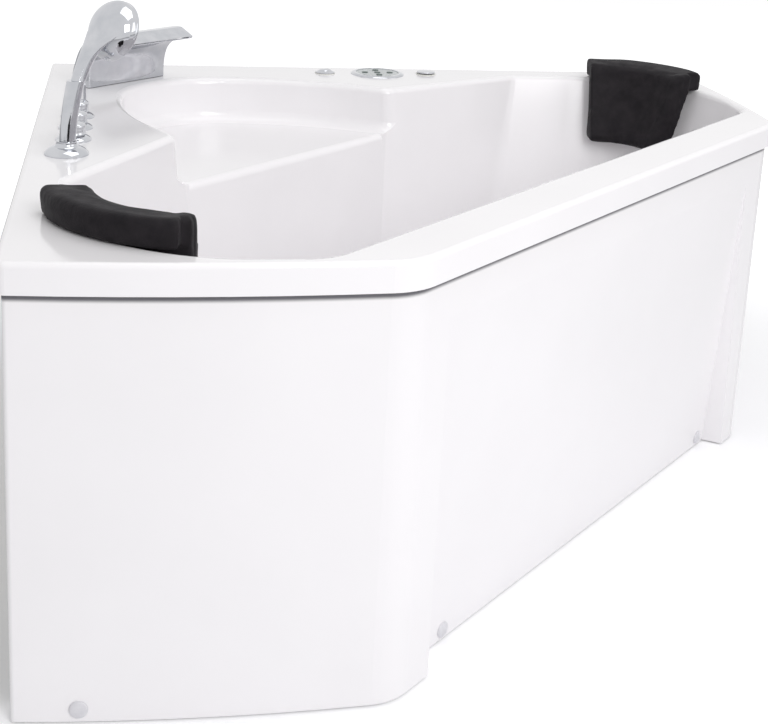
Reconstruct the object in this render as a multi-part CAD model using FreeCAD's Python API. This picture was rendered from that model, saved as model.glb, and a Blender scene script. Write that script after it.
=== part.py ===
"""Corner bathtub with a seat, a deck-mounted tap set, an air massage system and two neck pillows.

Everything is drawn in the frame of the room corner: X runs along one wall, -Y along the other
and Z is up from the floor. The tub is symmetric about the plane x = -y, so many places are given
as (u, v): u runs along the front panel and v runs from the room corner towards the front panel.
On export the shapes move so that the origin is the middle of the tub's footprint.
"""
import FreeCAD, Part
import math
import os

os.makedirs("parts", exist_ok=True)

V = FreeCAD.Vector
ROOT_2 = math.sqrt(2.0)
UP = V(0, 0, 1)
ALONG_U = V(1, 1, 0) / ROOT_2
ALONG_V = V(1, -1, 0) / ROOT_2

# Driving dimensions, millimetres -------------------------------------------------------------
SIDE = 1400.0            # along each wall
SHORT = 536.0            # short sides that meet the walls
CROWN = 12.0             # outward bow of the short sides
RIM_TOP = 655.0
LIP = 43.0               # height of the rim's outer lip
SHEET = 6.0              # acrylic with its glass-fibre backing
FRONT_CORNER_R = 93.0    # plan rounding of the rim at the front panel
WALL_CORNER_R = 16.0     # plan rounding of the rim at the walls
RIM_EDGE_R = 8.0
BASIN_EDGE_R = 12.0

FLOOR_TOP = 185.0        # inside floor of the basin
FLOOR_R = 60.0           # round between the floor and the basin walls
SEAT_TOP = 565.0
SEAT_R = 22.0            # round between the seat and the alcove walls
SEAT_NOSE_R = 14.0
SEAT_NOSE_U = 290.0      # half length of the rounded seat edge
LEAN_ALCOVE = 20.0       # how far each wall comes in over the full depth
LEAN_SEAT = 45.0
LEAN_LEDGE = 60.0
LEAN_WALL = 110.0
LEAN_END = 130.0
LEAN_FRONT = 70.0

SKIRT_INSET = 9.0        # overhang of the rim beyond the skirt
SKIRT_T = 4.0
SKIRT_FOOT = 3.0         # gap below the skirt
SKIRT_TOP = 640.0
SKIRT_RETURN = 60.0      # how far the skirt turns in along the walls
RECESS_TOP = 551.0
RECESS_DEPTH = 38.0
RECESS_END = 91.0        # plain face left at each end of the recess
RECESS_FLARE = 26.0      # the recess widens by this at its right foot
RECESS_DRAFT = 15.0      # its right end comes in by this over its depth

BAR = 30.0               # square steel tube of the frame
BAR_WALL = 2.0
BOARD_T = 16.0
WALL_RAIL_INSET = 38.0   # middle of the wall rails, from the walls
RAIL_INSET = 50.0        # middle of the end rails, from the short sides
FRONT_RAIL_V = 1240.0
END_RAIL_REACH = 520.0   # the short-side rails run out to the front posts
CROSS_RAILS_V = (410.0, 601.0, 792.0, 960.0)
SEAT_POST_U = 150.0

DRAIN_V = 1100.0
OVERFLOW_DROP = 90.0     # overflow centre below the rim

TAP_X = 73.0
TAPS_Y = (-730.0, -640.0, -548.0)
PORT_Z = 610.0
HANDSET_XY = (66.0, -833.0)
HANDSET_AZIMUTH = 40.0  # degrees from X towards Y
SPOUT_U = -35.0
SPOUT_FRONT_V = 262.0
SPOUT_WIDTH = 210.0
AIR_KNOB_XY = (580.0, -74.0)
PANEL_XY = (694.0, -73.0)
POWER_XY = (802.0, -68.0)
NOZZLE_U = (-420.0, -140.0, 140.0, 420.0)
NOZZLE_V = (860.0, 1020.0)
AIR_PIPE_Z = 120.0
CLEAR = 0.4              # gap beside pieces that move

# Fittings --------------------------------------------------------------------------------------
TAP_SHANK_R = 13.0
THREAD_R = 10.5          # half-inch pipe thread
PORT_REACH = 27.0
COPPER_R = 7.5
SPINDLE_R = 4.0
HOLDER_SHANK_R = 15.0
TAIL_R = 10.0            # handset tail
SPOUT_TAIL_R = 10.5
SPOUT_BASE = 56.0        # depth of the spout's foot
SMALL_SHANK_R = 12.0
PANEL_CUP_R = 40.0
PANEL_R = 46.0
PANEL_FACE_T = 2.0
KEY_R = 6.5
KEY_CIRCLE = 27.0
BUTTON_TRAVEL = 2.0
SMALL_FLANGE = 1.5
DRAIN_TUBE_R = 22.0
DRAIN_BODY_R = 33.0
STEM_R = 4.0
PIPE_R = 20.0            # 40 mm waste pipe
TRAP_BEND = 26.0
TRAP_SOCKET_R = 22.0     # socket that carries the outlet's nut
TRAP_SOCKET = 19.0       # its length, from the last bend
GASKET_T = 3.0
OVERFLOW_TUBE_R = 24.0
OVERFLOW_PIPE_R = 12.0
OVERFLOW_RUN_Z = 116.0
NOZZLE_TAIL_R = 6.0
AIR_PIPE_R = 12.0
AIR_LOOP_END = 40.0      # loop beyond its end nozzles
AIR_HOSE_R = 11.0
FOOT_BOLT_R = 6.0
SCREW_R = 2.5
CAP_R = 13.0
BRACKET_W = 28.0
BRACKET_T = 3.0
BRACKET_REACHES = (88.0, 88.0, 60.0, 60.0)   # from the skirt in to the rails, per screw
BRACKET_FOOT = 14.0      # bracket below its screw
CLIP_W = 24.0
CLIP_T = 1.5
CLIPS_S = (120.0, 400.0, 820.0, 1100.0)
SIDE_SCREW_X = 100.0
SIDE_SCREW_Z = 22.0
RECESS_SCREWS_S = (183.0, 1112.0)
RECESS_SCREW_Z = 20.0
PILLOW_ARC_R = 209.0
PILLOW_ARC_X = 277.0
PILLOW_ARC_Y = -1137.0
PILLOW_START = 188.0     # direction of the pillow's far end from its arc's centre, degrees
PILLOW_SPAN = 74.0
ROLL_SPAN = 70.0         # the roll stops short of the pad at the near end
PILLOW_HOOK = 30.0       # how far the roll reaches out over the rim
PILLOW_RISE = 42.0
PILLOW_DROP = 130.0
PILLOW_LEAN = 15.0       # of the pad's back from upright, degrees
PILLOW_FRONT_LEAN = 22.0

DEPTH = RIM_TOP - FLOOR_TOP
DECK_LOW = RIM_TOP - SHEET
BOARD_TOP = FLOOR_TOP - SHEET
BOARD_LOW = BOARD_TOP - BOARD_T
RAIL_LOW = BOARD_LOW - BAR
PANEL_SHELF = RIM_TOP + 1.0     # step in the control ring that the face lies on
FOOTPRINT_MIDDLE = (SIDE + CROWN) / 2.0
FRONT_LENGTH = (SIDE - SHORT) * ROOT_2


# Small tools ---------------------------------------------------------------------------------
def diagonal(u, v, z=0.0):
    """Point at u along the front panel and v out from the room corner."""
    return ALONG_U * u + ALONG_V * v + V(0, 0, z)


def line(start, end):
    return Part.LineSegment(start, end).toShape()


def arc(start, middle, end):
    return Part.Arc(start, middle, end).toShape()


def cylinder(radius, height, foot, axis=UP):
    return Part.makeCylinder(radius, height, foot, axis)


def ring(outer, inner, height, foot, axis=UP):
    return cylinder(outer, height, foot, axis).cut(cylinder(inner, height, foot, axis))


def polygon_prism(points, sweep):
    """Prism over a flat polygon given by its corners."""
    return Part.Face(Part.makePolygon(points + [points[0]])).extrude(sweep)


def hexagon_nut(across_flats, height, foot, bore):
    radius = across_flats / math.sqrt(3.0)
    angles = [math.radians(60 * i) for i in range(6)]
    points = [foot + V(radius * math.cos(a), radius * math.sin(a), 0) for a in angles]
    return polygon_prism(points, UP * height).cut(cylinder(bore, height, foot))


def dome_middle(rim, pole):
    """Point halfway along an arc that crosses the axis squarely at its pole."""
    rise = pole.z - rim.z
    radius = (rim.x ** 2 + rise ** 2) / (2 * rise)
    half = math.atan2(rim.x, abs(radius - rise)) / 2
    return V(abs(radius) * math.sin(half), 0, pole.z - radius * (1 - math.cos(half)))


def turned(profile, foot, axis=UP):
    """Solid of revolution from (radius, height) points that run outwards along the foot and up.

    A third value bows the edge that follows outwards by that much, or makes a dome of an edge
    that meets the axis.
    """
    points = [V(p[0], 0, p[1]) for p in profile]
    edges = []
    for i, start in enumerate(points):
        end = points[(i + 1) % len(points)]
        bow = profile[i][2] if len(profile[i]) > 2 else 0.0
        if not bow:
            edges.append(line(start, end))
        elif start.x and end.x:
            along = (end - start).normalize()
            edges.append(arc(start, (start + end) / 2 + V(along.z, 0, -along.x) * bow, end))
        else:
            rim, pole = (start, end) if start.x else (end, start)
            edges.append(arc(start, dome_middle(rim, pole), end))
    solid = Part.Face(Part.Wire(edges)).revolve(V(0, 0, 0), UP, 360)
    return placed(solid, foot, axis)


def placed(shape, foot, axis):
    """A shape drawn about Z at the origin, set at foot along another axis."""
    shape = shape.copy()
    shape.Placement = FreeCAD.Placement(foot, FreeCAD.Rotation(UP, axis))
    return shape


def pipe(points, radius, bend):
    """Round bar along straight runs joined by tangent arcs."""
    edges = []
    start = points[0]
    for before, corner, after in zip(points, points[1:], points[2:]):
        back = (before - corner).normalize()
        onward = (after - corner).normalize()
        half = back.getAngle(onward) / 2
        reach = bend / math.tan(half)
        middle = corner + (back + onward).normalize() * (bend / math.sin(half) - bend)
        edges.append(line(start, corner + back * reach))
        edges.append(arc(corner + back * reach, middle, corner + onward * reach))
        start = corner + onward * reach
    edges.append(line(start, points[-1]))
    section = Part.Wire(Part.makeCircle(radius, points[0], points[1] - points[0]))
    return Part.Wire(edges).makePipeShell([section], True, False)


def fuse(shapes):
    return shapes[0].multiFuse(shapes[1:]).removeSplitter()


def level_edges(shape, z):
    """Edges that lie flat at one height."""
    return [e for e in shape.Edges
            if abs(e.BoundBox.ZMin - z) < 0.05 and abs(e.BoundBox.ZMax - z) < 0.05]


def upright_near(shape, x, y):
    """The upright edge closest to a point in plan."""
    uprights = [e for e in shape.Edges if e.BoundBox.ZLength > 1]
    return min(uprights, key=lambda e: math.hypot(e.BoundBox.XMin - x, e.BoundBox.YMin - y))


def mirrored(shape):
    """The same shape on the other side of the tub's plane of symmetry."""
    return shape.mirror(V(0, 0, 0), ALONG_U)


def export(name, shapes):
    """Write one node, moved so that the middle of the footprint is the origin."""
    shape = Part.makeCompound(shapes) if isinstance(shapes, list) else shapes.copy()
    shape.translate(V(-FOOTPRINT_MIDDLE, FOOTPRINT_MIDDLE, 0))
    shape.exportStep(f"parts/{name}.step")


# Outlines ------------------------------------------------------------------------------------
def plan_prism(inset, low, high):
    """The tub's footprint, inset from the rim's outer edge, between two levels."""
    corners = [V(0, 0, 0), V(SIDE, 0, 0), V(SIDE, -SHORT, 0), V(SHORT, -SIDE, 0), V(0, -SIDE, 0)]
    outline = Part.Wire([line(corners[0], corners[1]),
                         arc(corners[1], V(SIDE + CROWN, -SHORT / 2, 0), corners[2]),
                         line(corners[2], corners[3]),
                         arc(corners[3], V(SHORT / 2, -SIDE - CROWN, 0), corners[4]),
                         line(corners[4], corners[0])])
    if inset:
        outline = outline.makeOffset2D(-inset, 2)
    prism = Part.Face(outline).extrude(UP * (high - low))
    prism.translate(V(0, 0, low))
    front = [upright_near(prism, SIDE, -SHORT), upright_near(prism, SHORT, -SIDE)]
    prism = prism.makeFillet(FRONT_CORNER_R - inset, front)
    wall = [upright_near(prism, SIDE, 0), upright_near(prism, 0, -SIDE)]
    return prism.makeFillet(WALL_CORNER_R - inset, wall)


# Half of each opening in plan, from the plane of symmetry round to the front. Each corner holds
# x, y, its rounding at the rim, its rounding at the basin floor and the lean of the next side.
TIP = (245.0, -688.0)
TIP_R = 35.0
LEDGE_BEND = (70.0, -998.0)
ALCOVE_OVERLAP = 0.17    # share of the tip-to-bend side that the alcove's outline covers
ALCOVE_MOUTH = (TIP[0] + (LEDGE_BEND[0] - TIP[0]) * ALCOVE_OVERLAP,
                TIP[1] + (LEDGE_BEND[1] - TIP[1]) * ALCOVE_OVERLAP)
BASIN_HALF = [(*TIP, 0.0, 0.0, LEAN_LEDGE),
              (*LEDGE_BEND, 25.0, 100.0, LEAN_WALL),
              (70.0, -1386.0, 260.0, 170.0, LEAN_END),
              (418.0, -1386.0, 80.0, 110.0, LEAN_FRONT)]
ALCOVE_HALF = [(150.0, -150.0, 200.0, 200.0, LEAN_ALCOVE),
               (150.0, -500.0, 560.0, 560.0, LEAN_ALCOVE),
               (*TIP, TIP_R, TIP_R, LEAN_LEDGE),
               (*ALCOVE_MOUTH, 0.0, 0.0, 0.0),
               (420.0, ALCOVE_MOUTH[1], 0.0, 0.0, 0.0)]


def whole_outline(half, closing_lean):
    """Both halves of an outline; a first corner on the plane of symmetry isn't repeated."""
    other = []
    for i in reversed(range(len(half))):
        x, y, rim_round, floor_round, _ = half[i]
        lean = half[i - 1][4] if i else closing_lean
        if abs(x + y) > 1:
            other.append((-y, -x, rim_round, floor_round, lean))
    return half + other


def rounded_outline(corners, z):
    """Closed wire at one level through (x, y, radius) corners."""
    spans = []
    for i, (x, y, radius) in enumerate(corners):
        here = V(x, y, z)
        back = (V(corners[i - 1][0], corners[i - 1][1], z) - here).normalize()
        after = corners[(i + 1) % len(corners)]
        onward = (V(after[0], after[1], z) - here).normalize()
        half = back.getAngle(onward) / 2
        reach = radius / math.tan(half)
        middle = here + (back + onward).normalize() * (radius / math.sin(half) - radius)
        spans.append((here + back * reach, middle, here + onward * reach))
    edges = []
    for i, (start, middle, end) in enumerate(spans):
        if corners[i][2]:
            edges.append(arc(start, middle, end))
        edges.append(line(end, spans[(i + 1) % len(spans)][0]))
    return Part.Wire(edges)


def outline_at(outline, z, grow):
    """The outline's wire at one level, its sides leant in with depth and grown by the sheet."""
    share = (RIM_TOP - z) / DEPTH
    sides = []
    for i, corner in enumerate(outline):
        after = outline[(i + 1) % len(outline)]
        run = V(after[0] - corner[0], after[1] - corner[1], 0).normalize()
        inward = V(-run.y, run.x, 0)
        sides.append((V(corner[0], corner[1], 0) + inward * (corner[4] * share - grow), run))
    corners = []
    for i, corner in enumerate(outline):
        (before, run_in), (here, run_out) = sides[i - 1], sides[i]
        turn = run_in.x * run_out.y - run_in.y * run_out.x
        step = ((here.x - before.x) * run_out.y - (here.y - before.y) * run_out.x) / turn
        point = before + run_in * step
        radius = corner[2] + (corner[3] - corner[2]) * share
        if radius:
            radius += grow * math.copysign(1, turn)
        corners.append((point.x, point.y, radius))
    return rounded_outline(corners, z)


def opening(outline, low, high, grow):
    """Solid of an opening between two levels."""
    wires = [outline_at(outline, high, grow), outline_at(outline, low, grow)]
    return Part.makeLoft(wires, True, True)


# Tub -----------------------------------------------------------------------------------------
def tub_opening(grow):
    """The basin joined with the seat alcove; grow gives the outer skin of the sheet."""
    basin = opening(whole_outline(BASIN_HALF, LEAN_SEAT), FLOOR_TOP - grow, RIM_TOP + 20, grow)
    basin = basin.makeFillet(FLOOR_R + grow, level_edges(basin, FLOOR_TOP - grow))
    alcove = opening(whole_outline(ALCOVE_HALF, 0.0), SEAT_TOP - grow, RIM_TOP + 20, grow)
    mouth = TIP[0] - TIP[1] + 3 * BAR
    walls = [e for e in level_edges(alcove, SEAT_TOP - grow)
             if e.BoundBox.XMax - e.BoundBox.YMin < mouth]
    alcove = alcove.makeFillet(SEAT_R + grow, walls)
    return basin.fuse(alcove).removeSplitter()


def tub_shell():
    """Thermoformed shell: rim with its lip, ledges, seat alcove and basin."""
    rim = plan_prism(0, RIM_TOP - LIP, RIM_TOP)
    rim = rim.makeFillet(RIM_EDGE_R, level_edges(rim, RIM_TOP))
    rim = rim.cut(plan_prism(SHEET, RIM_TOP - LIP - 1, DECK_LOW))
    skin = tub_opening(SHEET).common(plan_prism(2, 0, DECK_LOW + 2))
    inside = tub_opening(0.0)
    shell = rim.fuse(skin).removeSplitter().cut(inside)
    rim_inside = plan_prism(15, RIM_TOP - 5, RIM_TOP + 5)
    edges = [e for e in level_edges(shell, RIM_TOP) if rim_inside.isInside(e.CenterOfMass, 0.1, True)]
    shell = shell.makeFillet(BASIN_EDGE_R, edges)
    return shell.cut([seat_nose_cutter()] + deck_holes())


def seat_nose_cutter():
    """Takes the sharp corner off the seat's front edge, tangent to the seat and to its leaning wall."""
    lean = math.atan2(LEAN_SEAT, DEPTH)
    corner = (TIP[0] - TIP[1]) / ROOT_2 + math.tan(lean) * (RIM_TOP - SEAT_TOP)
    middle = corner - SEAT_NOSE_R * (1 - math.sin(lean)) / math.cos(lean)
    turns = (math.pi / 2, math.pi / 4 + lean / 2, lean)
    low = SEAT_TOP - SEAT_NOSE_R
    curve = [diagonal(-SEAT_NOSE_U, middle + SEAT_NOSE_R * math.cos(t), low + SEAT_NOSE_R * math.sin(t))
             for t in turns]
    above = [diagonal(-SEAT_NOSE_U, corner + 20, curve[2].z),
             diagonal(-SEAT_NOSE_U, corner + 20, SEAT_TOP + 5), curve[0] + UP * 5]
    edges = [arc(*curve), line(curve[2], above[0]), line(above[0], above[1]), line(above[1], above[2]),
             line(above[2], curve[0])]
    return Part.Face(Part.Wire(edges)).extrude(ALONG_U * 2 * SEAT_NOSE_U)


def deck_holes():
    """Holes for the fittings through the deck, the floor and the overflow wall."""
    cuts = [cylinder(TAP_SHANK_R + 0.5, 60, V(TAP_X, y, RIM_TOP - 30)) for y in TAPS_Y]
    cuts.append(cylinder(HOLDER_SHANK_R + 0.5, 60, V(*HANDSET_XY, RIM_TOP - 30)))
    cuts.append(cylinder(SPOUT_TAIL_R + 0.5, 60, spout_middle(RIM_TOP - 30)))
    cuts.append(cylinder(SMALL_SHANK_R + 0.5, 60, V(*AIR_KNOB_XY, RIM_TOP - 30)))
    cuts.append(cylinder(SMALL_SHANK_R + 0.5, 60, V(*POWER_XY, RIM_TOP - 30)))
    cuts.append(cylinder(PANEL_CUP_R + 0.5, 60, V(*PANEL_XY, RIM_TOP - 30)))
    cuts.append(cylinder(DRAIN_TUBE_R + 1.0, 40, diagonal(0, DRAIN_V, FLOOR_TOP - 20)))
    cuts += [cylinder(NOZZLE_TAIL_R + 0.5, 40, p + V(0, 0, FLOOR_TOP - 20)) for p in nozzle_places()]
    middle, normal = overflow_seat()
    cuts.append(cylinder(OVERFLOW_TUBE_R + 0.5, 60, middle - normal * 30, normal))
    return cuts


# Skirt ---------------------------------------------------------------------------------------
def front_point(along, inward, z):
    """Point on the front panel: along it from its left corner, inward from the rim's edge."""
    return V(SHORT, -SIDE, z) + ALONG_U * along - ALONG_V * inward


def recess_depth(z):
    """How far the recess lies behind the plain face of the front panel."""
    return RECESS_DEPTH * (1 - z / RECESS_TOP)


def recess_cutter(grow):
    """Tapered recess of the front panel; grow gives the back of the moulding."""
    def section(inward, draft):
        left = RECESS_END - grow
        right = FRONT_LENGTH - RECESS_END + grow - draft
        flare = RECESS_FLARE
        return Part.makePolygon([front_point(left, inward, -10),
                                 front_point(right + flare, inward, -10),
                                 front_point(right, inward, RECESS_TOP + grow),
                                 front_point(left, inward, RECESS_TOP + grow),
                                 front_point(left, inward, -10)])
    block = Part.makeLoft([section(SKIRT_INSET - 20, 0.0),
                           section(SKIRT_INSET + RECESS_DEPTH + 20, RECESS_DRAFT)], True, True)
    front = SKIRT_INSET - 30
    slope = polygon_prism([front_point(0, front, -10),
                           front_point(0, SKIRT_INSET + recess_depth(-10) + grow, -10),
                           front_point(0, SKIRT_INSET + grow, RECESS_TOP),
                           front_point(0, SKIRT_INSET, RECESS_TOP + grow + 1),
                           front_point(0, front, RECESS_TOP + grow + 1)], ALONG_U * FRONT_LENGTH)
    return block.common(slope)


def skirt_body():
    """One moulded panel round the three free sides, recessed for the toes at the front."""
    outside = plan_prism(SKIRT_INSET, SKIRT_FOOT, SKIRT_TOP).cut(recess_cutter(0.0))
    inside = plan_prism(SKIRT_INSET + SKIRT_T, SKIRT_FOOT - 1, SKIRT_TOP + 1)
    inside = inside.cut(recess_cutter(SKIRT_T))
    panel = outside.cut(inside)
    wall_run = SIDE - SKIRT_RETURN
    panel = panel.cut([Part.makeBox(60, wall_run, RIM_TOP, V(0, -wall_run, 0)),
                       Part.makeBox(wall_run, 60, RIM_TOP, V(0, -60, 0))])
    return panel.cut([cylinder(SCREW_R + 0.3, 30, foot - axis * 15, axis) for foot, axis in screws()])


def screws():
    """Where each skirt screw enters the outer face, and the way that face looks."""
    lean = math.atan2(RECESS_DEPTH, RECESS_TOP)
    face = ALONG_V * math.cos(lean) - UP * math.sin(lean)
    places = []
    for along in RECESS_SCREWS_S:
        inward = SKIRT_INSET + recess_depth(RECESS_SCREW_Z)
        places.append((front_point(along, inward, RECESS_SCREW_Z), face))
    side = V(SIDE_SCREW_X, -SIDE - side_bow(SIDE_SCREW_X) + SKIRT_INSET, SIDE_SCREW_Z)
    radial = side_normal(SIDE_SCREW_X)
    places.append((side, radial))
    places.append((V(-side.y, -side.x, side.z), V(-radial.y, -radial.x, 0)))
    return places


def side_radius():
    return (SHORT ** 2 / 4 + CROWN ** 2) / (2 * CROWN)


def side_bow(x):
    """How far the short side bows out at x."""
    radius = side_radius()
    return math.sqrt(radius ** 2 - (x - SHORT / 2) ** 2) - (radius - CROWN)


def side_normal(x):
    slope = (x - SHORT / 2) / side_radius()
    return V(slope, -math.sqrt(1 - slope ** 2), 0)


def skirt_bracket(foot, axis, reach):
    """Steel angle from a rail down to the skirt's inner face, behind one screw."""
    flat = V(axis.x, axis.y, 0).normalize()
    half = UP.cross(flat) * BRACKET_W / 2
    slope = UP - flat * (axis.z / math.hypot(axis.x, axis.y))
    low = foot - axis * (SKIRT_T + 0.05) - slope * BRACKET_FOOT
    top = low + slope * (RAIL_LOW - low.z)
    inner = -flat * BRACKET_T
    tail = -flat * reach
    drop = V(0, 0, -BRACKET_T)
    outline = [low, top, top + tail, top + tail + drop, top + inner + drop, low + inner]
    plate = polygon_prism([p - half for p in outline], half * 2)
    return plate.cut(cylinder(SCREW_R, 40, foot - axis * 20, axis))


def skirt_screw(foot, axis):
    """Pan-head screw through the skirt into its bracket."""
    head = turned([(0, 0.01), (4.8, 0.01, 0.4), (3.4, 2.6), (0, 2.6)], foot, axis)
    return head.fuse(cylinder(SCREW_R, 19, foot + axis, -axis)).removeSplitter()


def screw_cap(foot, axis):
    """Domed plastic cap over a screw head."""
    profile = [(0, 3), (5.4, 3), (5.4, 0.01), (CAP_R, 0.01, 0.6), (11.5, 3.2, 1), (0, 5.2)]
    return turned(profile, foot, axis)


def skirt_clip(foot, outward):
    """Sprung steel clip below the rim that grips the skirt's top edge."""
    across = UP.cross(outward) * CLIP_W / 2
    wall = foot - outward * (SKIRT_INSET + SKIRT_T)
    steps = [(-0.01, DECK_LOW - 45), (-0.01, DECK_LOW), (-26, DECK_LOW), (-26, DECK_LOW - CLIP_T),
             (-CLIP_T, DECK_LOW - CLIP_T), (-CLIP_T, DECK_LOW - 45)]
    outline = [V(wall.x, wall.y, 0) + outward * run + V(0, 0, z) - across for run, z in steps]
    return polygon_prism(outline, across * 2)


# Frame and feet ------------------------------------------------------------------------------
def bar(start, end):
    """Solid square bar with its middle line between two points of the rail level."""
    run = end - start
    side = UP.cross(run).normalize() * BAR / 2
    corners = [start - side, start + side, start + side + UP * BAR, start - side + UP * BAR]
    return polygon_prism(corners, run)


def bore_of(start, end):
    """The hollow inside a square tube."""
    run = end - start
    side = UP.cross(run).normalize() * (BAR / 2 - BAR_WALL)
    low = UP * BAR_WALL
    high = UP * (BAR - BAR_WALL)
    corners = [start - side + low, start + side + low, start + side + high, start - side + high]
    return polygon_prism(corners, run)


def frame_rails():
    """Square tubes below the tub, coped against the ones laid before them."""
    near = WALL_RAIL_INSET
    far = SIDE - RAIL_INSET
    reach = END_RAIL_REACH
    front_start = V(FRONT_RAIL_V * ROOT_2 - far, -far, RAIL_LOW)
    runs = [(V(near, -near + BAR / 2, RAIL_LOW), V(near, -far - BAR / 2, RAIL_LOW)),
            (V(near, -near, RAIL_LOW), V(far + BAR / 2, -near, RAIL_LOW)),
            (V(near, -far, RAIL_LOW), V(reach, -far, RAIL_LOW)),
            (V(far, -near, RAIL_LOW), V(far, -reach, RAIL_LOW)),
            (front_start, V(-front_start.y, -front_start.x, RAIL_LOW))]
    for v in CROSS_RAILS_V:
        reach_x = near if v * ROOT_2 - near < far else v * ROOT_2 - far
        left = V(reach_x, reach_x - v * ROOT_2, RAIL_LOW)
        runs.append((left, V(-left.y, -left.x, RAIL_LOW)))
    laid = []
    rails = []
    for start, end in runs:
        tube = bar(start, end).cut(bore_of(start, end))
        if laid:
            tube = tube.cut(laid)
        laid.append(bar(start, end))
        rails.append(max(tube.Solids, key=lambda s: s.Volume))
    return [rail.cut([cylinder(FOOT_BOLT_R + 0.5, 5, p + V(0, 0, RAIL_LOW - 1)) for p in foot_places()])
            for rail in rails]


def post(x, y, top, turn):
    """Upright square tube on a rail, turned about its middle."""
    outer = Part.makeBox(BAR, BAR, top - BOARD_LOW, V(-BAR / 2, -BAR / 2, BOARD_LOW))
    inner = BAR - 2 * BAR_WALL
    bore = Part.makeBox(inner, inner, top - BOARD_LOW - BAR_WALL, V(-inner / 2, -inner / 2, BOARD_LOW))
    tube = outer.cut(bore)
    tube.rotate(V(0, 0, 0), UP, turn)
    tube.translate(V(x, y, 0))
    return tube


def frame_posts():
    near = WALL_RAIL_INSET
    far = SIDE - RAIL_INSET
    out = END_RAIL_REACH - BAR / 2
    corners = [(near, -near), (near, -far), (far, -near), (out, -far), (far, -out)]
    posts = [post(x, y, DECK_LOW, 0) for x, y in corners]
    for u in (-SEAT_POST_U, SEAT_POST_U):
        middle = diagonal(u, CROSS_RAILS_V[1])
        posts.append(post(middle.x, middle.y, SEAT_TOP - SHEET, 45))
    return posts


def foot_places():
    near = WALL_RAIL_INSET
    far = SIDE - RAIL_INSET
    return [V(near, -near - 60, 0), V(near, -far + 60, 0), V(far - 60, -near, 0),
            V(END_RAIL_REACH - 60, -far, 0), V(far, -END_RAIL_REACH + 60, 0),
            diagonal(-300, CROSS_RAILS_V[3]), diagonal(300, CROSS_RAILS_V[3])]


def foot_bolt(place):
    return cylinder(FOOT_BOLT_R, RAIL_LOW + 14 - 6, place + V(0, 0, 6))


def foot_pad(place):
    """Tapered pad with a socket for the bolt's end."""
    return turned([(0, 0), (24, 0), (25, 2), (25, 6, -1.5), (12, 14), (FOOT_BOLT_R, 14),
                   (FOOT_BOLT_R, 6), (0, 6)], place)


def base_board():
    """Board bonded under the basin floor, with holes for the waste and the air nozzles."""
    outline = outline_at(whole_outline(BASIN_HALF, LEAN_SEAT), FLOOR_TOP, -(FLOOR_R + 4))
    board = Part.Face(outline).extrude(UP * BOARD_T)
    board.translate(V(0, 0, BOARD_LOW - FLOOR_TOP))
    holes = [cylinder(NOZZLE_TAIL_R + 2, 60, p + V(0, 0, BOARD_LOW - 10)) for p in nozzle_places()]
    holes.append(cylinder(DRAIN_BODY_R + 2, 60, diagonal(0, DRAIN_V, BOARD_LOW - 10)))
    return board.cut(holes)


# Waste and overflow --------------------------------------------------------------------------
def overflow_seat():
    """Middle of the overflow on the front basin wall, and the way that wall looks."""
    lean = math.atan2(LEAN_FRONT, DEPTH)
    normal = (ALONG_V * -math.cos(lean) + UP * math.sin(lean)).normalize()
    corner_x, corner_y = BASIN_HALF[-1][:2]
    wall_v = (corner_x - corner_y) / ROOT_2 - LEAN_FRONT * OVERFLOW_DROP / DEPTH
    return diagonal(0, wall_v, RIM_TOP - OVERFLOW_DROP), normal


def drain_flange():
    """Waste outlet: rounded rim, tube and a three-armed guide for the plug's stem."""
    foot = diagonal(0, DRAIN_V, 0)
    low = FLOOR_TOP - 38
    shell = turned([(19, low), (DRAIN_TUBE_R, low), (DRAIN_TUBE_R, FLOOR_TOP), (35, FLOOR_TOP),
                    (35, FLOOR_TOP + 0.8, 0.5), (31, FLOOR_TOP + 3), (26, FLOOR_TOP + 3),
                    (20.5, FLOOR_TOP - 1.5), (19, FLOOR_TOP - 4)], foot)
    hub = ring(7, STEM_R + CLEAR, 8, foot + V(0, 0, FLOOR_TOP - 22))
    arms = []
    for turn in (0, 120, 240):
        arm = Part.makeBox(14.5, 3, 8, foot + V(5.5, -1.5, FLOOR_TOP - 22))
        arm.rotate(foot, UP, turn)
        arms.append(arm)
    return fuse([shell, hub.fuse(arms)])


def drain_plug():
    """Pop-up plug: domed cap, seal step and stem."""
    top = FLOOR_TOP + 3 + CLEAR
    return turned([(0, FLOOR_TOP - 40), (STEM_R, FLOOR_TOP - 40), (STEM_R, FLOOR_TOP - 2),
                   (18, FLOOR_TOP - 2), (21, FLOOR_TOP + 1), (21, top), (28, top),
                   (28.5, top + 1, 0.4), (25, top + 3, 1), (0, top + 5.6)],
                  diagonal(0, DRAIN_V, 0))


def drain_body():
    """Waste body below the floor, with a side inlet from the overflow."""
    foot = diagonal(0, DRAIN_V, 0)
    high = BOARD_TOP - GASKET_T
    body = turned([(0, 92), (PIPE_R, 92), (PIPE_R, 104), (DRAIN_BODY_R, 112), (DRAIN_BODY_R, high),
                   (0, high)], foot)
    inlet = cylinder(OVERFLOW_PIPE_R + 3, 44, diagonal(0, DRAIN_V, OVERFLOW_RUN_Z), ALONG_V)
    bore = turned([(0, 91), (PIPE_R - 3, 91), (PIPE_R - 3, 108), (DRAIN_TUBE_R + 0.05, 120),
                   (DRAIN_TUBE_R + 0.05, high + 1), (0, high + 1)], foot)
    return body.fuse(inlet).removeSplitter().cut(bore)


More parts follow.
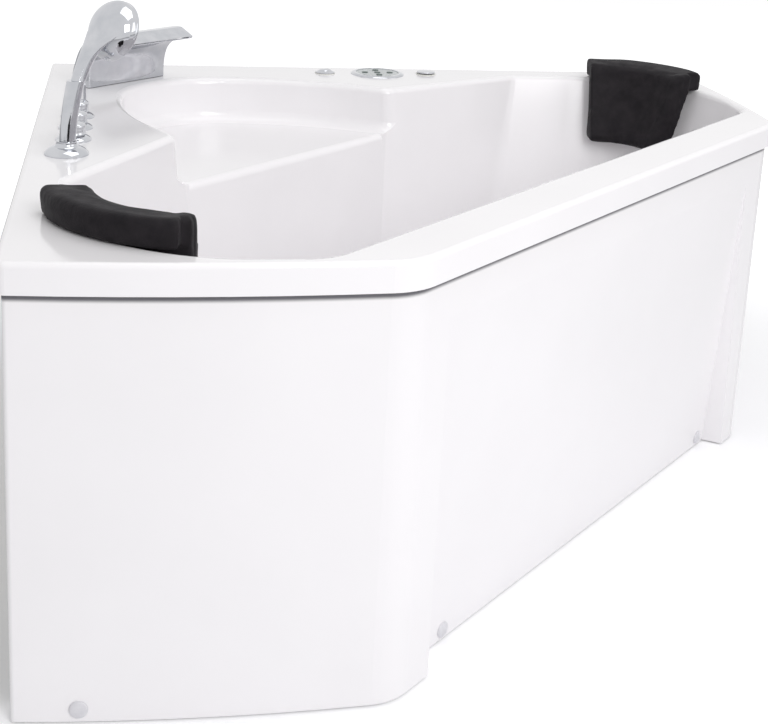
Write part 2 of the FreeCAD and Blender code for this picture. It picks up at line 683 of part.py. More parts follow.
def trap():
    """Water seal: down, round and out towards the room corner, with a socket for the outlet's nut."""
    start = diagonal(0, DRAIN_V, 92)
    points = [start, start - V(0, 0, 64), start - V(0, 0, 64) - ALONG_V * 62,
              start - V(0, 0, 10) - ALONG_V * 62, start - V(0, 0, 10) - ALONG_V * 150]
    bend, end = points[-2:]
    socket = cylinder(TRAP_SOCKET_R, TRAP_SOCKET, bend - ALONG_V * TRAP_BEND, -ALONG_V)
    outside = pipe(points, PIPE_R, TRAP_BEND).fuse(socket).removeSplitter()
    return outside.cut(cylinder(PIPE_R - 2.5, 45, end, ALONG_V))


def trap_nuts():
    foot = diagonal(0, DRAIN_V, 85)
    outlet = diagonal(0, DRAIN_V - 95, 82)
    return [ring(27, PIPE_R, 16, foot), ring(27, TRAP_SOCKET_R, 12, outlet, -ALONG_V)]


def overflow_parts():
    """Plate, gasket and body either side of the basin wall, and the knob in front of them."""
    middle, normal = overflow_seat()
    bore = SPINDLE_R + 0.06
    plate = turned([(bore, 0.01), (37, 0.01), (37, 2, 0.6), (33, 4), (bore, 4)], middle, normal)
    slots = []
    for i in range(12):
        slot = Part.makeBox(9, 5, 12, V(13, -2.5, -3))
        slot.rotate(V(0, 0, 0), UP, 30 * i)
        slots.append(placed_again(slot, middle, normal))
    plate = plate.cut(slots)
    gasket = ring(30, OVERFLOW_TUBE_R + 0.5, GASKET_T, middle - normal * (SHEET + GASKET_T), normal)
    back = middle - normal * (SHEET + GASKET_T)
    cup = turned([(0, -26), (22, -26, 2), (30, -14), (30, 0), (OVERFLOW_TUBE_R, 0),
                  (OVERFLOW_TUBE_R, SHEET + GASKET_T - 0.01), (OVERFLOW_TUBE_R - 3, SHEET + GASKET_T - 0.01),
                  (OVERFLOW_TUBE_R - 3, -8), (10, -8), (10, -22), (0, -22)], back, normal)
    stub_top = back - normal * 14
    stub = cylinder(OVERFLOW_PIPE_R + 3, 38, stub_top + V(0, 0, -38))
    stub = stub.cut(turned([(0, 0), (31, 0), (31, 60), (0, 60)], back - normal * 13, normal))
    body = cup.fuse(stub).removeSplitter()
    return plate, gasket, body


def placed_again(shape, foot, axis):
    """A shape already turned about Z, set at foot along another axis."""
    turn = FreeCAD.Placement(foot, FreeCAD.Rotation(UP, axis))
    shape = shape.copy()
    shape.Placement = turn.multiply(shape.Placement)
    return shape


def overflow_knob():
    """Round turning knob with finger scallops and a spindle through the plate."""
    middle, normal = overflow_seat()
    knob = turned([(0, 7), (29, 7), (31, 9), (31, 17, 0.9), (27, 21, 1), (0, 22.5)],
                  V(0, 0, 0))
    scallops = []
    for i in range(8):
        angle = math.radians(45 * i)
        scallops.append(cylinder(7, 20, V(36 * math.cos(angle), 36 * math.sin(angle), 5)))
    knob = knob.cut(scallops).fuse(cylinder(SPINDLE_R, 20, V(0, 0, -12))).removeSplitter()
    return placed(knob, middle, normal)


def overflow_pipe():
    middle, normal = overflow_seat()
    stub = middle - normal * (SHEET + GASKET_T + 14)
    top = V(stub.x, stub.y, stub.z - 38)
    turn = V(top.x, top.y, OVERFLOW_RUN_Z)
    end = diagonal(0, DRAIN_V + 44, OVERFLOW_RUN_Z)
    return pipe([top, turn, end], OVERFLOW_PIPE_R, 45)


# Taps, spout and hand shower -----------------------------------------------------------------
def spout_middle(z):
    return diagonal(SPOUT_U, SPOUT_FRONT_V - SPOUT_BASE / 2, z)


def tap_body(y):
    """Brass valve body below the deck: shank, cross ports and an inlet thread."""
    foot = V(TAP_X, y, 0)
    barrel = turned([(0, 572), (THREAD_R, 572), (THREAD_R, 590), (19, 592), (19, 632), (TAP_SHANK_R, 636),
                     (TAP_SHANK_R, RIM_TOP + 7), (0, RIM_TOP + 7)], foot)
    ports = cylinder(11, 2 * PORT_REACH, V(TAP_X, y - PORT_REACH, PORT_Z), V(0, 1, 0))
    body = barrel.fuse(ports).removeSplitter()
    return body.cut(cylinder(SPINDLE_R + 0.06, 40, V(TAP_X, y, RIM_TOP + 7 - 26)))


def deck_nut(x, y, shank):
    """Lock nut on a shank below the deck."""
    return hexagon_nut(shank * 2 + 12, 8, V(x, y, DECK_LOW - 8), shank)


def tap_flange(y):
    """Domed cover ring on the deck."""
    return turned([(TAP_SHANK_R, 0), (30, 0), (30, 1.5, 1.6), (19, 8), (TAP_SHANK_R, 8)],
                  V(TAP_X, y, RIM_TOP))


def tap_knob(y):
    """Waisted knob with finger flutes on a spindle."""
    low = RIM_TOP + 8 + CLEAR
    body = turned([(0, low), (19, low), (20.5, low + 3, -1.2), (20.5, low + 16, 1.0),
                   (16, low + 21, 1), (0, low + 23)], V(0, 0, 0))
    flutes = []
    for i in range(6):
        angle = math.radians(60 * i + 30)
        flutes.append(cylinder(5, 12, V(23.5 * math.cos(angle), 23.5 * math.sin(angle), low + 5)))
    knob = body.cut(flutes).fuse(cylinder(SPINDLE_R, 24, V(0, 0, low - 24))).removeSplitter()
    knob.translate(V(TAP_X, y, 0))
    return knob


def diverter_knob(y):
    """The third knob also carries an upright pin lever."""
    low = RIM_TOP + 8 + CLEAR
    pin = turned([(0, low + 18), (2.6, low + 18), (2.2, low + 50, 1), (0, low + 52)],
                 V(TAP_X + 13, y, 0))
    return tap_knob(y).fuse(pin).removeSplitter()


def mixed_pipes():
    """Copper tails between the three valve bodies."""
    tails = []
    for first, second in zip(TAPS_Y, TAPS_Y[1:]):
        start = V(TAP_X, first + PORT_REACH, PORT_Z)
        tails.append(cylinder(COPPER_R, second - first - 2 * PORT_REACH, start, V(0, 1, 0)))
    return tails


def spout_pipe():
    start = V(TAP_X, TAPS_Y[2] + PORT_REACH, PORT_Z)
    tail = spout_middle(PORT_Z)
    corner = V(TAP_X, tail.y - 95, PORT_Z)
    arrive = (tail - corner).normalize()
    return pipe([start, corner, tail - arrive * 22], COPPER_R, 60)


def spout_tail():
    """Brass tail below the spout with a side port."""
    foot = spout_middle(0)
    stem = turned([(0, 596), (14, 596), (14, 626), (SPOUT_TAIL_R, 630), (SPOUT_TAIL_R, RIM_TOP),
                   (0, RIM_TOP)], foot)
    corner = V(TAP_X, foot.y - 95, PORT_Z)
    port = spout_middle(PORT_Z)
    toward = (corner - port).normalize()
    return stem.fuse(cylinder(11, 22, port, toward)).removeSplitter()


def spout_body():
    """Waterfall spout: a wave-shaped blade whose lip throws a sheet of water."""
    base = SPOUT_BASE
    deck = RIM_TOP + GASKET_T / 3
    profile = [(0, 0), (2, 34), (14, 65), (40, 82), (78, 88), (81, 93), (50, 108), (10, 102),
               (-24, 78), (-43, 40), (-base, 0)]
    points = [V(x, 0, z) for x, z in profile]
    front = Part.BSplineCurve()
    front.interpolate(points[0:5])
    back = Part.BSplineCurve()
    back.interpolate(points[6:11])
    edges = [front.toShape(), line(points[4], points[5]), line(points[5], points[6]), back.toShape(),
             line(points[10], points[0])]
    blade = Part.Face(Part.Wire(edges)).extrude(V(0, SPOUT_WIDTH, 0))
    mouth = Part.makeBox(40, SPOUT_WIDTH - 24, 2.2, V(49, 12, 89.6))
    mouth.rotate(V(79, 0, 89.6), V(0, 1, 0), -8)
    ends = [e for e in blade.Edges if e.BoundBox.YLength < 0.1 and e.BoundBox.ZMax > 5]
    blade = blade.makeFillet(2.5, ends)
    blade = blade.cut(mouth)
    turn = FreeCAD.Rotation(V(1, 0, 0), ALONG_V)
    blade.Placement = FreeCAD.Placement(diagonal(SPOUT_U - SPOUT_WIDTH / 2, SPOUT_FRONT_V, deck), turn)
    return blade


def spout_gasket():
    start = diagonal(SPOUT_U - SPOUT_WIDTH / 2 + 1.5, SPOUT_FRONT_V - 1.5, RIM_TOP)
    along = ALONG_U * (SPOUT_WIDTH - 3)
    deep = ALONG_V * -(SPOUT_BASE - 3)
    pad = polygon_prism([start, start + along, start + along + deep, start + deep], UP * GASKET_T / 3)
    return pad.cut(cylinder(SPOUT_TAIL_R + 0.5, 10, spout_middle(RIM_TOP - 2)))


def handset_holder():
    """Deck rosette with a collar that the handset's tail drops into."""
    return turned([(TAIL_R + CLEAR, 600), (HOLDER_SHANK_R, 600), (HOLDER_SHANK_R, RIM_TOP), (35.5, RIM_TOP),
                   (35.5, RIM_TOP + 2, 2.2), (20, RIM_TOP + 13, -1.4), (16.5, RIM_TOP + 22),
                   (TAIL_R + CLEAR, RIM_TOP + 22)], V(*HANDSET_XY, 0))


def ellipse_section(height, forward, half_depth, half_width):
    """Level ellipse, deep along the handset's facing direction."""
    if half_depth >= half_width:
        curve = Part.Ellipse(V(forward, 0, height), half_depth, half_width)
        return Part.Wire(curve.toShape())
    curve = Part.Ellipse(V(forward, 0, height), half_width, half_depth)
    shape = curve.toShape()
    shape.rotate(V(forward, 0, height), UP, 90)
    return Part.Wire(shape)


def handset_body():
    """Grip in a stepped sleeve, a neck that widens like a spoon, and a round tilted head."""
    foot = RIM_TOP + 22 + CLEAR
    tail = cylinder(TAIL_R, foot - 612, V(0, 0, 612))
    grip = Part.makeLoft([ellipse_section(foot, 2, 13.5, 13), ellipse_section(foot + 45, 8, 14, 13.2),
                          ellipse_section(foot + 69, 13, 14.5, 13.4),
                          ellipse_section(foot + 95, 20, 15, 13.6)], True, False)
    stations = [(83, 20, 11.5, 12), (95, 24.5, 11.8, 12.2), (115, 34, 12.5, 13.2), (134, 45, 12.5, 17),
                (150, 58, 11.5, 25), (163, 71, 8.5, 35), (175, 82, 5, 40), (185, 89, 3, 36)]
    neck = Part.makeLoft([ellipse_section(foot + height, *section) for height, *section in stations],
                         True, False)
    head = turned([(0, -30, 1), (30, -24, 3), (49, -4, 0.3), (50, 4, 0.4), (50, 9, 0.6), (46, 11),
                   (44.3, 11), (44.3, 8), (0, 8)], *head_frame())
    return on_handset(fuse([tail, grip, neck, head]))


def head_frame():
    """Middle of the handset's head and the way it faces, in the handset's own frame."""
    tilt = math.radians(22)
    return V(95, 0, RIM_TOP + 191.5), V(math.cos(tilt), 0, -math.sin(tilt))


def on_handset(shape):
    """Turn a shape to the handset's facing direction and set it at its holder."""
    shape = shape.copy()
    shape.rotate(V(0, 0, 0), UP, HANDSET_AZIMUTH)
    shape.translate(V(*HANDSET_XY, 0))
    return shape


def spray_plate():
    """Nozzle plate in the handset's head."""
    middle, facing = head_frame()
    plate = turned([(0, 8.01), (44, 8.01), (44, 10, 0.2), (42, 11.2), (0, 11.2)], middle, facing)
    nozzles = []
    for count, radius in ((6, 12), (12, 24), (18, 36)):
        for i in range(count):
            angle = 2 * math.pi * i / count
            nozzle = Part.makeCone(1.6, 1.1, 2.2, V(radius * math.cos(angle), radius * math.sin(angle), 10.6))
            nozzles.append(placed_again(nozzle, middle, facing))
    return on_handset(plate.fuse(nozzles))


# Deck controls and air system ----------------------------------------------------------------
def small_shank(x, y):
    """Plastic body below the deck with a shank and a flange above it."""
    return turned([(0, 604), (17, 604), (17, 636), (SMALL_SHANK_R, 638), (SMALL_SHANK_R, RIM_TOP),
                   (21.5, RIM_TOP), (21.5, RIM_TOP + SMALL_FLANGE), (SPINDLE_R + 4, RIM_TOP + SMALL_FLANGE),
                   (SPINDLE_R + 4, RIM_TOP - 8), (SPINDLE_R + 0.06, RIM_TOP - 8),
                   (SPINDLE_R + 0.06, RIM_TOP - 22), (0, RIM_TOP - 22)], V(x, y, 0))


def air_knob():
    """Low domed knob that turns to let air in, with a pointer groove."""
    low = RIM_TOP + SMALL_FLANGE + CLEAR
    knob = turned([(0, low), (20.5, low), (20.5, low + 1.5, -0.6), (12, low + 6, 1), (0, low + 7.5)],
                  V(*AIR_KNOB_XY, 0))
    spindle = cylinder(SPINDLE_R, 18, V(*AIR_KNOB_XY, low - 18))
    mark = Part.makeBox(10, 2, 3, V(AIR_KNOB_XY[0] + 3, AIR_KNOB_XY[1] - 1, low + 5.8))
    return knob.fuse(spindle).removeSplitter().cut(mark)


def power_button():
    """Low round button."""
    low = RIM_TOP + SMALL_FLANGE + BUTTON_TRAVEL + CLEAR
    cap = turned([(0, low), (19.5, low), (19.5, low + 1.5, 0.3), (18, low + 2.6, 1), (0, low + 3.2)],
                 V(*POWER_XY, 0))
    return cap.fuse(cylinder(SPINDLE_R, 14, V(*POWER_XY, low - 14))).removeSplitter()


def control_ring():
    """Chrome ring with the panel's housing cup below the deck."""
    return turned([(PANEL_CUP_R - 3, RIM_TOP - 14), (PANEL_CUP_R, RIM_TOP - 14), (PANEL_CUP_R, RIM_TOP),
                   (57.5, RIM_TOP), (57.5, RIM_TOP + 0.8, 0.8), (50, RIM_TOP + 4.2),
                   (PANEL_R + 0.3, RIM_TOP + 3.8), (PANEL_R + 0.3, PANEL_SHELF),
                   (PANEL_CUP_R - 3, PANEL_SHELF)], V(*PANEL_XY, 0))


def key_places():
    """Middle of each panel key: one in the centre and four round it."""
    places = [V(*PANEL_XY, RIM_TOP)]
    for turn in (0, 90, 180, 270):
        angle = math.radians(turn)
        places.append(V(PANEL_XY[0] + KEY_CIRCLE * math.cos(angle),
                        PANEL_XY[1] + KEY_CIRCLE * math.sin(angle), RIM_TOP))
    return places


def control_face():
    """Pale face of the panel with a round hole for each key."""
    face = cylinder(PANEL_R, PANEL_FACE_T, V(*PANEL_XY, PANEL_SHELF + 0.01))
    return face.cut([cylinder(KEY_R + CLEAR, 10, p) for p in key_places()])


def key(place):
    """Round key standing just proud of the face, on a stem."""
    top = PANEL_SHELF + PANEL_FACE_T + 1.3
    return turned([(0, PANEL_SHELF - 8), (KEY_R - 2, PANEL_SHELF - 8), (KEY_R - 2, PANEL_SHELF),
                   (KEY_R, PANEL_SHELF), (KEY_R, top - 0.5, 0.15), (KEY_R - 0.7, top), (0, top)],
                  V(place.x, place.y, 0))


def control_box():
    """Electronics housing hanging from the ring's cup."""
    low = RIM_TOP - 52
    box = Part.makeBox(96, 78, 32, V(PANEL_XY[0] - 48, PANEL_XY[1] - 39, low))
    box = box.makeFillet(6, [e for e in box.Edges if e.BoundBox.ZLength > 1])
    gland = cylinder(9, 10, V(PANEL_XY[0] - 48 - 10, PANEL_XY[1], low + 16), V(1, 0, 0))
    neck = ring(PANEL_CUP_R, PANEL_CUP_R - 3, 6, V(*PANEL_XY, RIM_TOP - 20))
    return fuse([box, gland, neck])


def nozzle_places():
    return [diagonal(u, v) for v in NOZZLE_V for u in NOZZLE_U]


def air_nozzle(place):
    """Chrome button on the basin floor with a barbed tail."""
    tail = turned([(0, AIR_PIPE_Z + 8), (NOZZLE_TAIL_R, AIR_PIPE_Z + 8), (NOZZLE_TAIL_R, FLOOR_TOP),
                   (13, FLOOR_TOP), (13, FLOOR_TOP + 1, 0.5), (8, FLOOR_TOP + 3.5), (0, FLOOR_TOP + 3.5)],
                  place)
    return tail.cut(cylinder(2, 30, place + V(0, 0, FLOOR_TOP - 20)))


def air_loop():
    """Rectangular pipe loop below the floor that feeds every nozzle."""
    low_v, high_v = NOZZLE_V
    half = NOZZLE_U[-1] + AIR_LOOP_END
    start = diagonal(0, low_v, AIR_PIPE_Z)
    corners = [start, diagonal(half, low_v, AIR_PIPE_Z), diagonal(half, high_v, AIR_PIPE_Z),
               diagonal(-half, high_v, AIR_PIPE_Z), diagonal(-half, low_v, AIR_PIPE_Z), start]
    loop = pipe(corners, AIR_PIPE_R, 30)
    return loop.cut([cylinder(NOZZLE_TAIL_R, 40, p + UP * (AIR_PIPE_Z + 8)) for p in nozzle_places()])


def blower_shelf():
    """Board across the two back rails that carries the blower."""
    low_v = CROSS_RAILS_V[0] - BAR / 2
    high_v = CROSS_RAILS_V[1] - BAR / 2 - 2
    corners = [diagonal(-110, low_v, BOARD_LOW), diagonal(110, low_v, BOARD_LOW),
               diagonal(110, high_v, BOARD_LOW), diagonal(-110, high_v, BOARD_LOW)]
    return polygon_prism(corners, UP * 10)


def blower():
    """Round air blower: ribbed motor cover on a scroll with its outlet stub."""
    middle = diagonal(0, 500, BOARD_LOW + 10)
    scroll = turned([(0, 0), (66, 0), (70, 4, 2.0), (70, 46), (66, 50), (0, 50)], middle)
    motor = turned([(0, 50), (48, 50), (48, 108, 1.5), (40, 116), (0, 116)], middle)
    fins = []
    for i in range(12):
        angle = 30 * i
        fin = Part.makeBox(8, 2.4, 52, middle + V(45, -1.2, 50))
        fin.rotate(middle, UP, angle)
        fins.append(fin)
    outlet = cylinder(AIR_HOSE_R + 4, 92, middle + V(0, 0, 25), ALONG_U)
    return fuse([scroll, motor, outlet] + fins)


def air_riser():
    """Pipe from the blower up behind the seat, over and down to the loop."""
    start = diagonal(92, 500, BOARD_LOW + 35)
    far = diagonal(220, 500, BOARD_LOW + 35)
    top = far + V(0, 0, 270)
    over = top + ALONG_U * 70
    down = V(over.x, over.y, AIR_PIPE_Z)
    end = diagonal(290, NOZZLE_V[0], AIR_PIPE_Z)
    riser = pipe([start, far, top, over, down, end], AIR_HOSE_R, 34)
    return riser.cut(cylinder(AIR_PIPE_R, 60, end - ALONG_U * 30, ALONG_U))


# Pillows -------------------------------------------------------------------------------------
def pillow():
    """Curved neck pillow: a pad on the basin's sloping end and a roll hooked over the rim."""
    back_in = math.tan(math.radians(PILLOW_LEAN)) * PILLOW_DROP
    front_in = math.tan(math.radians(PILLOW_FRONT_LEAN)) * PILLOW_DROP
    top = RIM_TOP + PILLOW_RISE
    low = RIM_TOP - PILLOW_DROP
    wall = PILLOW_ARC_R - 3
    hook = wall + PILLOW_HOOK
    profile = [(hook, RIM_TOP + 0.4), (hook + 2, top - 9), (hook - 4, top - 2), (hook - 12, top),
               (wall - 32, top - 5), (wall - 43, top - 14), (wall - 49, RIM_TOP + 8),
               (wall - 49 - front_in * 0.9, low + 12), (wall - 41 - front_in * 0.9, low + 2),
               (wall - 14 - back_in, low), (wall - 4 - back_in, low + 8), (wall - 8, RIM_TOP - 16),
               (wall - 3, RIM_TOP + 0.4)]
    points = [V(r, 0, z) for r, z in profile]
    face = Part.Face(Part.makePolygon(points + [points[0]]))
    face.rotate(V(0, 0, 0), UP, PILLOW_START)
    pad = face.revolve(V(0, 0, 0), UP, PILLOW_SPAN)
    roll_end = ring(hook + 10, wall - 3, top, V(0, 0, RIM_TOP - 20))
    keep = cylinder(hook + 20, top, V(0, 0, RIM_TOP - 20)).common(sector(PILLOW_START, ROLL_SPAN))
    pad = pad.cut(roll_end.cut(keep))
    pad.translate(V(PILLOW_ARC_X, PILLOW_ARC_Y, 0))
    return pad


def sector(start, span):
    """Upright wedge about Z that covers a range of directions."""
    wedge = Part.makeCylinder(2 * PILLOW_ARC_R, 2 * SIDE, V(0, 0, 0), UP, span)
    wedge.rotate(V(0, 0, 0), UP, start)
    return wedge


# Nodes ---------------------------------------------------------------------------------------
export("tub_shell", tub_shell())
export("base_board", base_board())
export("frame_rails", frame_rails())
export("frame_posts", frame_posts())
export("foot_bolts", [foot_bolt(p) for p in foot_places()])
export("foot_nuts", [hexagon_nut(19, 10, p + V(0, 0, RAIL_LOW - 10), FOOT_BOLT_R) for p in foot_places()])
export("foot_pads", [foot_pad(p) for p in foot_places()])
export("skirt", skirt_body())
brackets = [skirt_bracket(foot, axis, reach) for (foot, axis), reach in zip(screws(), BRACKET_REACHES)]
export("skirt_brackets", brackets)
export("skirt_screws", [skirt_screw(foot, axis) for foot, axis in screws()])
export("screw_caps", [screw_cap(foot, axis) for foot, axis in screws()])
clip_places = [(front_point(along, 0, 0), ALONG_V) for along in CLIPS_S]
export("skirt_clips", [skirt_clip(foot, outward) for foot, outward in clip_places])

export("drain_flange", drain_flange())
gasket_foot = diagonal(0, DRAIN_V, BOARD_TOP - GASKET_T)
export("drain_gasket", ring(DRAIN_BODY_R, DRAIN_TUBE_R + 1, GASKET_T, gasket_foot))
export("drain_body", drain_body())
export("drain_plug", drain_plug())
export("trap", trap())
export("trap_nuts", trap_nuts())
plate, gasket, body = overflow_parts()
export("overflow_plate", plate)
export("overflow_gasket", gasket)
export("overflow_body", body)
export("overflow_knob", overflow_knob())
export("overflow_pipe", overflow_pipe())

for name, y in zip(("hot", "cold", "diverter"), TAPS_Y):
    export(f"{name}_valve", tap_body(y))
    export(f"{name}_flange", tap_flange(y))
    export(f"{name}_knob", diverter_knob(y) if name == "diverter" else tap_knob(y))
deck_nuts = [deck_nut(TAP_X, y, TAP_SHANK_R) for y in TAPS_Y]
deck_nuts.append(deck_nut(*HANDSET_XY, HOLDER_SHANK_R))
deck_nuts.append(deck_nut(spout_middle(0).x, spout_middle(0).y, SPOUT_TAIL_R))
deck_nuts += [deck_nut(*place, SMALL_SHANK_R) for place in (AIR_KNOB_XY, POWER_XY)]
export("deck_nuts", deck_nuts)
export("mixed_pipes", mixed_pipes())
export("spout_pipe", spout_pipe())
export("spout_tail", spout_tail())
export("spout", spout_body())
export("spout_gasket", spout_gasket())
export("handset_holder", handset_holder())
export("handset", handset_body())
export("spray_plate", spray_plate())

export("air_valve", small_shank(*AIR_KNOB_XY))
export("air_knob", air_knob())
export("power_switch", small_shank(*POWER_XY))
export("power_button", power_button())
export("control_ring", control_ring())
export("control_face", control_face())
for name, place in zip(("centre", "right", "back", "left", "front"), key_places()):
    export(f"{name}_key", key(place))
export("control_box", control_box())
export("air_nozzles", [air_nozzle(p) for p in nozzle_places()])
export("air_loop", air_loop())
export("air_riser", air_riser())
export("blower_shelf", blower_shelf())
export("blower", blower())

left_pillow = pillow()
export("left_pillow", left_pillow)
export("right_pillow", mirrored(left_pillow))
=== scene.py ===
"""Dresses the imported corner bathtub: its finishes, its two neck pillows, the small repeated details
and the studio it stands in. Everything is in metres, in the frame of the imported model."""

import logging
import math
from dataclasses import dataclass
from enum import Enum
from typing import Any, Sequence

import bmesh
import bpy
from mathutils import Matrix, Vector
from mathutils.bvhtree import BVHTree


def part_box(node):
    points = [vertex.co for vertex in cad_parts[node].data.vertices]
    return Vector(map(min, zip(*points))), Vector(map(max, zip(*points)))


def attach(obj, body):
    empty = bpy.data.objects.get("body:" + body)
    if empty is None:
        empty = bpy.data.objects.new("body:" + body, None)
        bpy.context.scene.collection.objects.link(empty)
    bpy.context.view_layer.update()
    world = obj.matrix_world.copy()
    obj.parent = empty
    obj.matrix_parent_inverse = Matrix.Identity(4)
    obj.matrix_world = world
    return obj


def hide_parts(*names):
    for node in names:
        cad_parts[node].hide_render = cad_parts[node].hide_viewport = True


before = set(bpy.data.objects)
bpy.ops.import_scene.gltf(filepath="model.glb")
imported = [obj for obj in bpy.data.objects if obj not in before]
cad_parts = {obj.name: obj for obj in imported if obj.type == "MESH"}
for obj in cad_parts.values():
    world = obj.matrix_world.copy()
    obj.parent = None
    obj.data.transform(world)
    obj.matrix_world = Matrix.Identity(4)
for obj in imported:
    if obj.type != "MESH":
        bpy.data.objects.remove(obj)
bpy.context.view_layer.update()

MM = 0.001
SAME_PLACE = 0.01 * MM                         # points closer than this are one point
FACTOR, VALUE_A, VALUE_B = 0, 2, 3             # sockets of a Mix node set to plain values
COLOUR_A, COLOUR_B, MIXED_COLOUR = 6, 7, 2     # sockets of a Mix node set to colour
NOISE_DARK, NOISE_LIGHT = 0.3, 0.7             # the part of a noise's range that the two tones fill
CLOUD_DETAIL, GRAIN_DETAIL = 3.0, 2.0          # layers of finer noise in the clouds and in the grain
WHITE = "#ffffff"
log = logging.getLogger("bathtub")

Tree = bpy.types.NodeTree
Node = bpy.types.Node
Socket = bpy.types.NodeSocket
Piece = bpy.types.Object
Material = bpy.types.Material


# Nodes and colours ---------------------------------------------------------------------------
def linear(code: str) -> tuple[float, float, float, float]:
    """Turn an sRGB hex colour into the linear colour that a shader socket takes.

    Args:
        code: the colour as six hex digits after a hash.

    Returns:
        Red, green, blue and an alpha of 1, in linear light.
    """
    parts = [int(code[i:i + 2], 16) / 255 for i in (1, 3, 5)]
    red, green, blue = [p / 12.92 if p <= 0.04045 else ((p + 0.055) / 1.055) ** 2.4 for p in parts]
    return red, green, blue, 1.0


def add_node(tree: Tree, kind: str, inputs: dict[Any, Any] | None = None, **settings: Any) -> Node:
    """Add one node with its settings and feed its inputs.

    Args:
        tree: the shader or geometry tree that gets the node.
        kind: the node's type name.
        inputs: for each input's name or number, a value or the output socket that feeds it.
        **settings: properties of the node itself.

    Returns:
        The new node.
    """
    node = tree.nodes.new(kind)
    for name, value in settings.items():
        setattr(node, name, value)
    for key, value in (inputs or {}).items():
        if isinstance(value, bpy.types.NodeSocket):
            tree.links.new(value, node.inputs[key])
        else:
            node.inputs[key].default_value = value
    return node


def per_metre(size_mm: float) -> float:
    """Scale of a texture whose features are size_mm across, on coordinates in metres."""
    return 1000.0 / size_mm


# Finishes ------------------------------------------------------------------------------------
@dataclass(frozen=True)
class Finish:
    """A finish with soft patches of tone and a fine grain.

    Attributes:
        name: what the stuff is and how its surface was made.
        light: sRGB hex of the lighter patches.
        dark: sRGB hex of the darker patches.
        patch_mm: size of the patches of tone, which the gloss follows too.
        rough: lowest and highest roughness.
        grain_mm: size of the relief's grain.
        depth_mm: height of the relief.
        metallic: 1 for a bare metal.
        ior: index of refraction of a finish that isn't a metal.
    """

    name: str
    light: str
    dark: str
    patch_mm: float
    rough: tuple[float, float]
    grain_mm: float
    depth_mm: float
    metallic: float = 0.0
    ior: float = 1.5

    def build(self) -> Material:
        """Make the material once and give it back on every later call.

        Returns:
            The node-based material.
        """
        found = bpy.data.materials.get(self.name)
        if found:
            return found
        material = bpy.data.materials.new(self.name)
        material.use_nodes = True
        tree = material.node_tree
        tree.nodes.clear()
        place = add_node(tree, "ShaderNodeTexCoord").outputs["Object"]
        shader = add_node(tree, "ShaderNodeBsdfPrincipled", {"Metallic": self.metallic})
        if not self.metallic:
            shader.inputs["IOR"].default_value = self.ior
        self.pattern(tree, place, shader)
        add_node(tree, "ShaderNodeOutputMaterial", {"Surface": shader.outputs["BSDF"]})
        return material

    def pattern(self, tree: Tree, place: Socket, shader: Node) -> None:
        """Draw the colour, the gloss and the relief.

        Args:
            tree: the material's tree.
            place: object coordinates in metres.
            shader: the node whose sockets the pattern feeds.
        """
        colour, gloss = self.tones(tree, self.patches(tree, place))
        self.feed(tree, shader, colour, gloss, self.relief(tree, place))

    def patches(self, tree: Tree, place: Socket) -> Socket:
        """Soft clouds from 0 to 1 that the tone and the gloss follow."""
        return add_node(tree, "ShaderNodeTexNoise", {
            "Vector": place, "Scale": per_metre(self.patch_mm), "Detail": CLOUD_DETAIL}).outputs["Fac"]

    def relief(self, tree: Tree, place: Socket) -> Socket:
        """Fine even grain from 0 to 1."""
        return add_node(tree, "ShaderNodeTexNoise", {
            "Vector": place, "Scale": per_metre(self.grain_mm), "Detail": GRAIN_DETAIL}).outputs["Fac"]

    def tones(self, tree: Tree, tone: Socket) -> tuple[Socket, Socket]:
        """Spread the two colours and the two roughnesses over the patches.

        Args:
            tree: the material's tree.
            tone: the patches, from 0 to 1.

        Returns:
            The colour and the roughness.
        """
        spread = add_node(tree, "ShaderNodeMapRange", {
            "Value": tone, "From Min": NOISE_DARK, "From Max": NOISE_LIGHT}).outputs[0]
        colour = add_node(tree, "ShaderNodeMix", {
            FACTOR: spread, COLOUR_A: linear(self.dark), COLOUR_B: linear(self.light)}, data_type="RGBA")
        lowest, highest = self.rough
        gloss = add_node(tree, "ShaderNodeMapRange", {
            "Value": spread, "To Min": highest, "To Max": lowest})
        return colour.outputs[MIXED_COLOUR], gloss.outputs[0]

    def feed(self, tree: Tree, shader: Node, colour: Socket, gloss: Socket, height: Socket) -> None:
        """Feed the shader its colour, its roughness and a relief depth_mm high.

        Args:
            tree: the material's tree.
            shader: the node whose sockets are fed.
            colour: the colour.
            gloss: the roughness.
            height: the relief, from 0 to 1.
        """
        bump = add_node(tree, "ShaderNodeBump", {"Height": height, "Distance": self.depth_mm * MM})
        tree.links.new(colour, shader.inputs["Base Color"])
        tree.links.new(gloss, shader.inputs["Roughness"])
        tree.links.new(bump.outputs["Normal"], shader.inputs["Normal"])


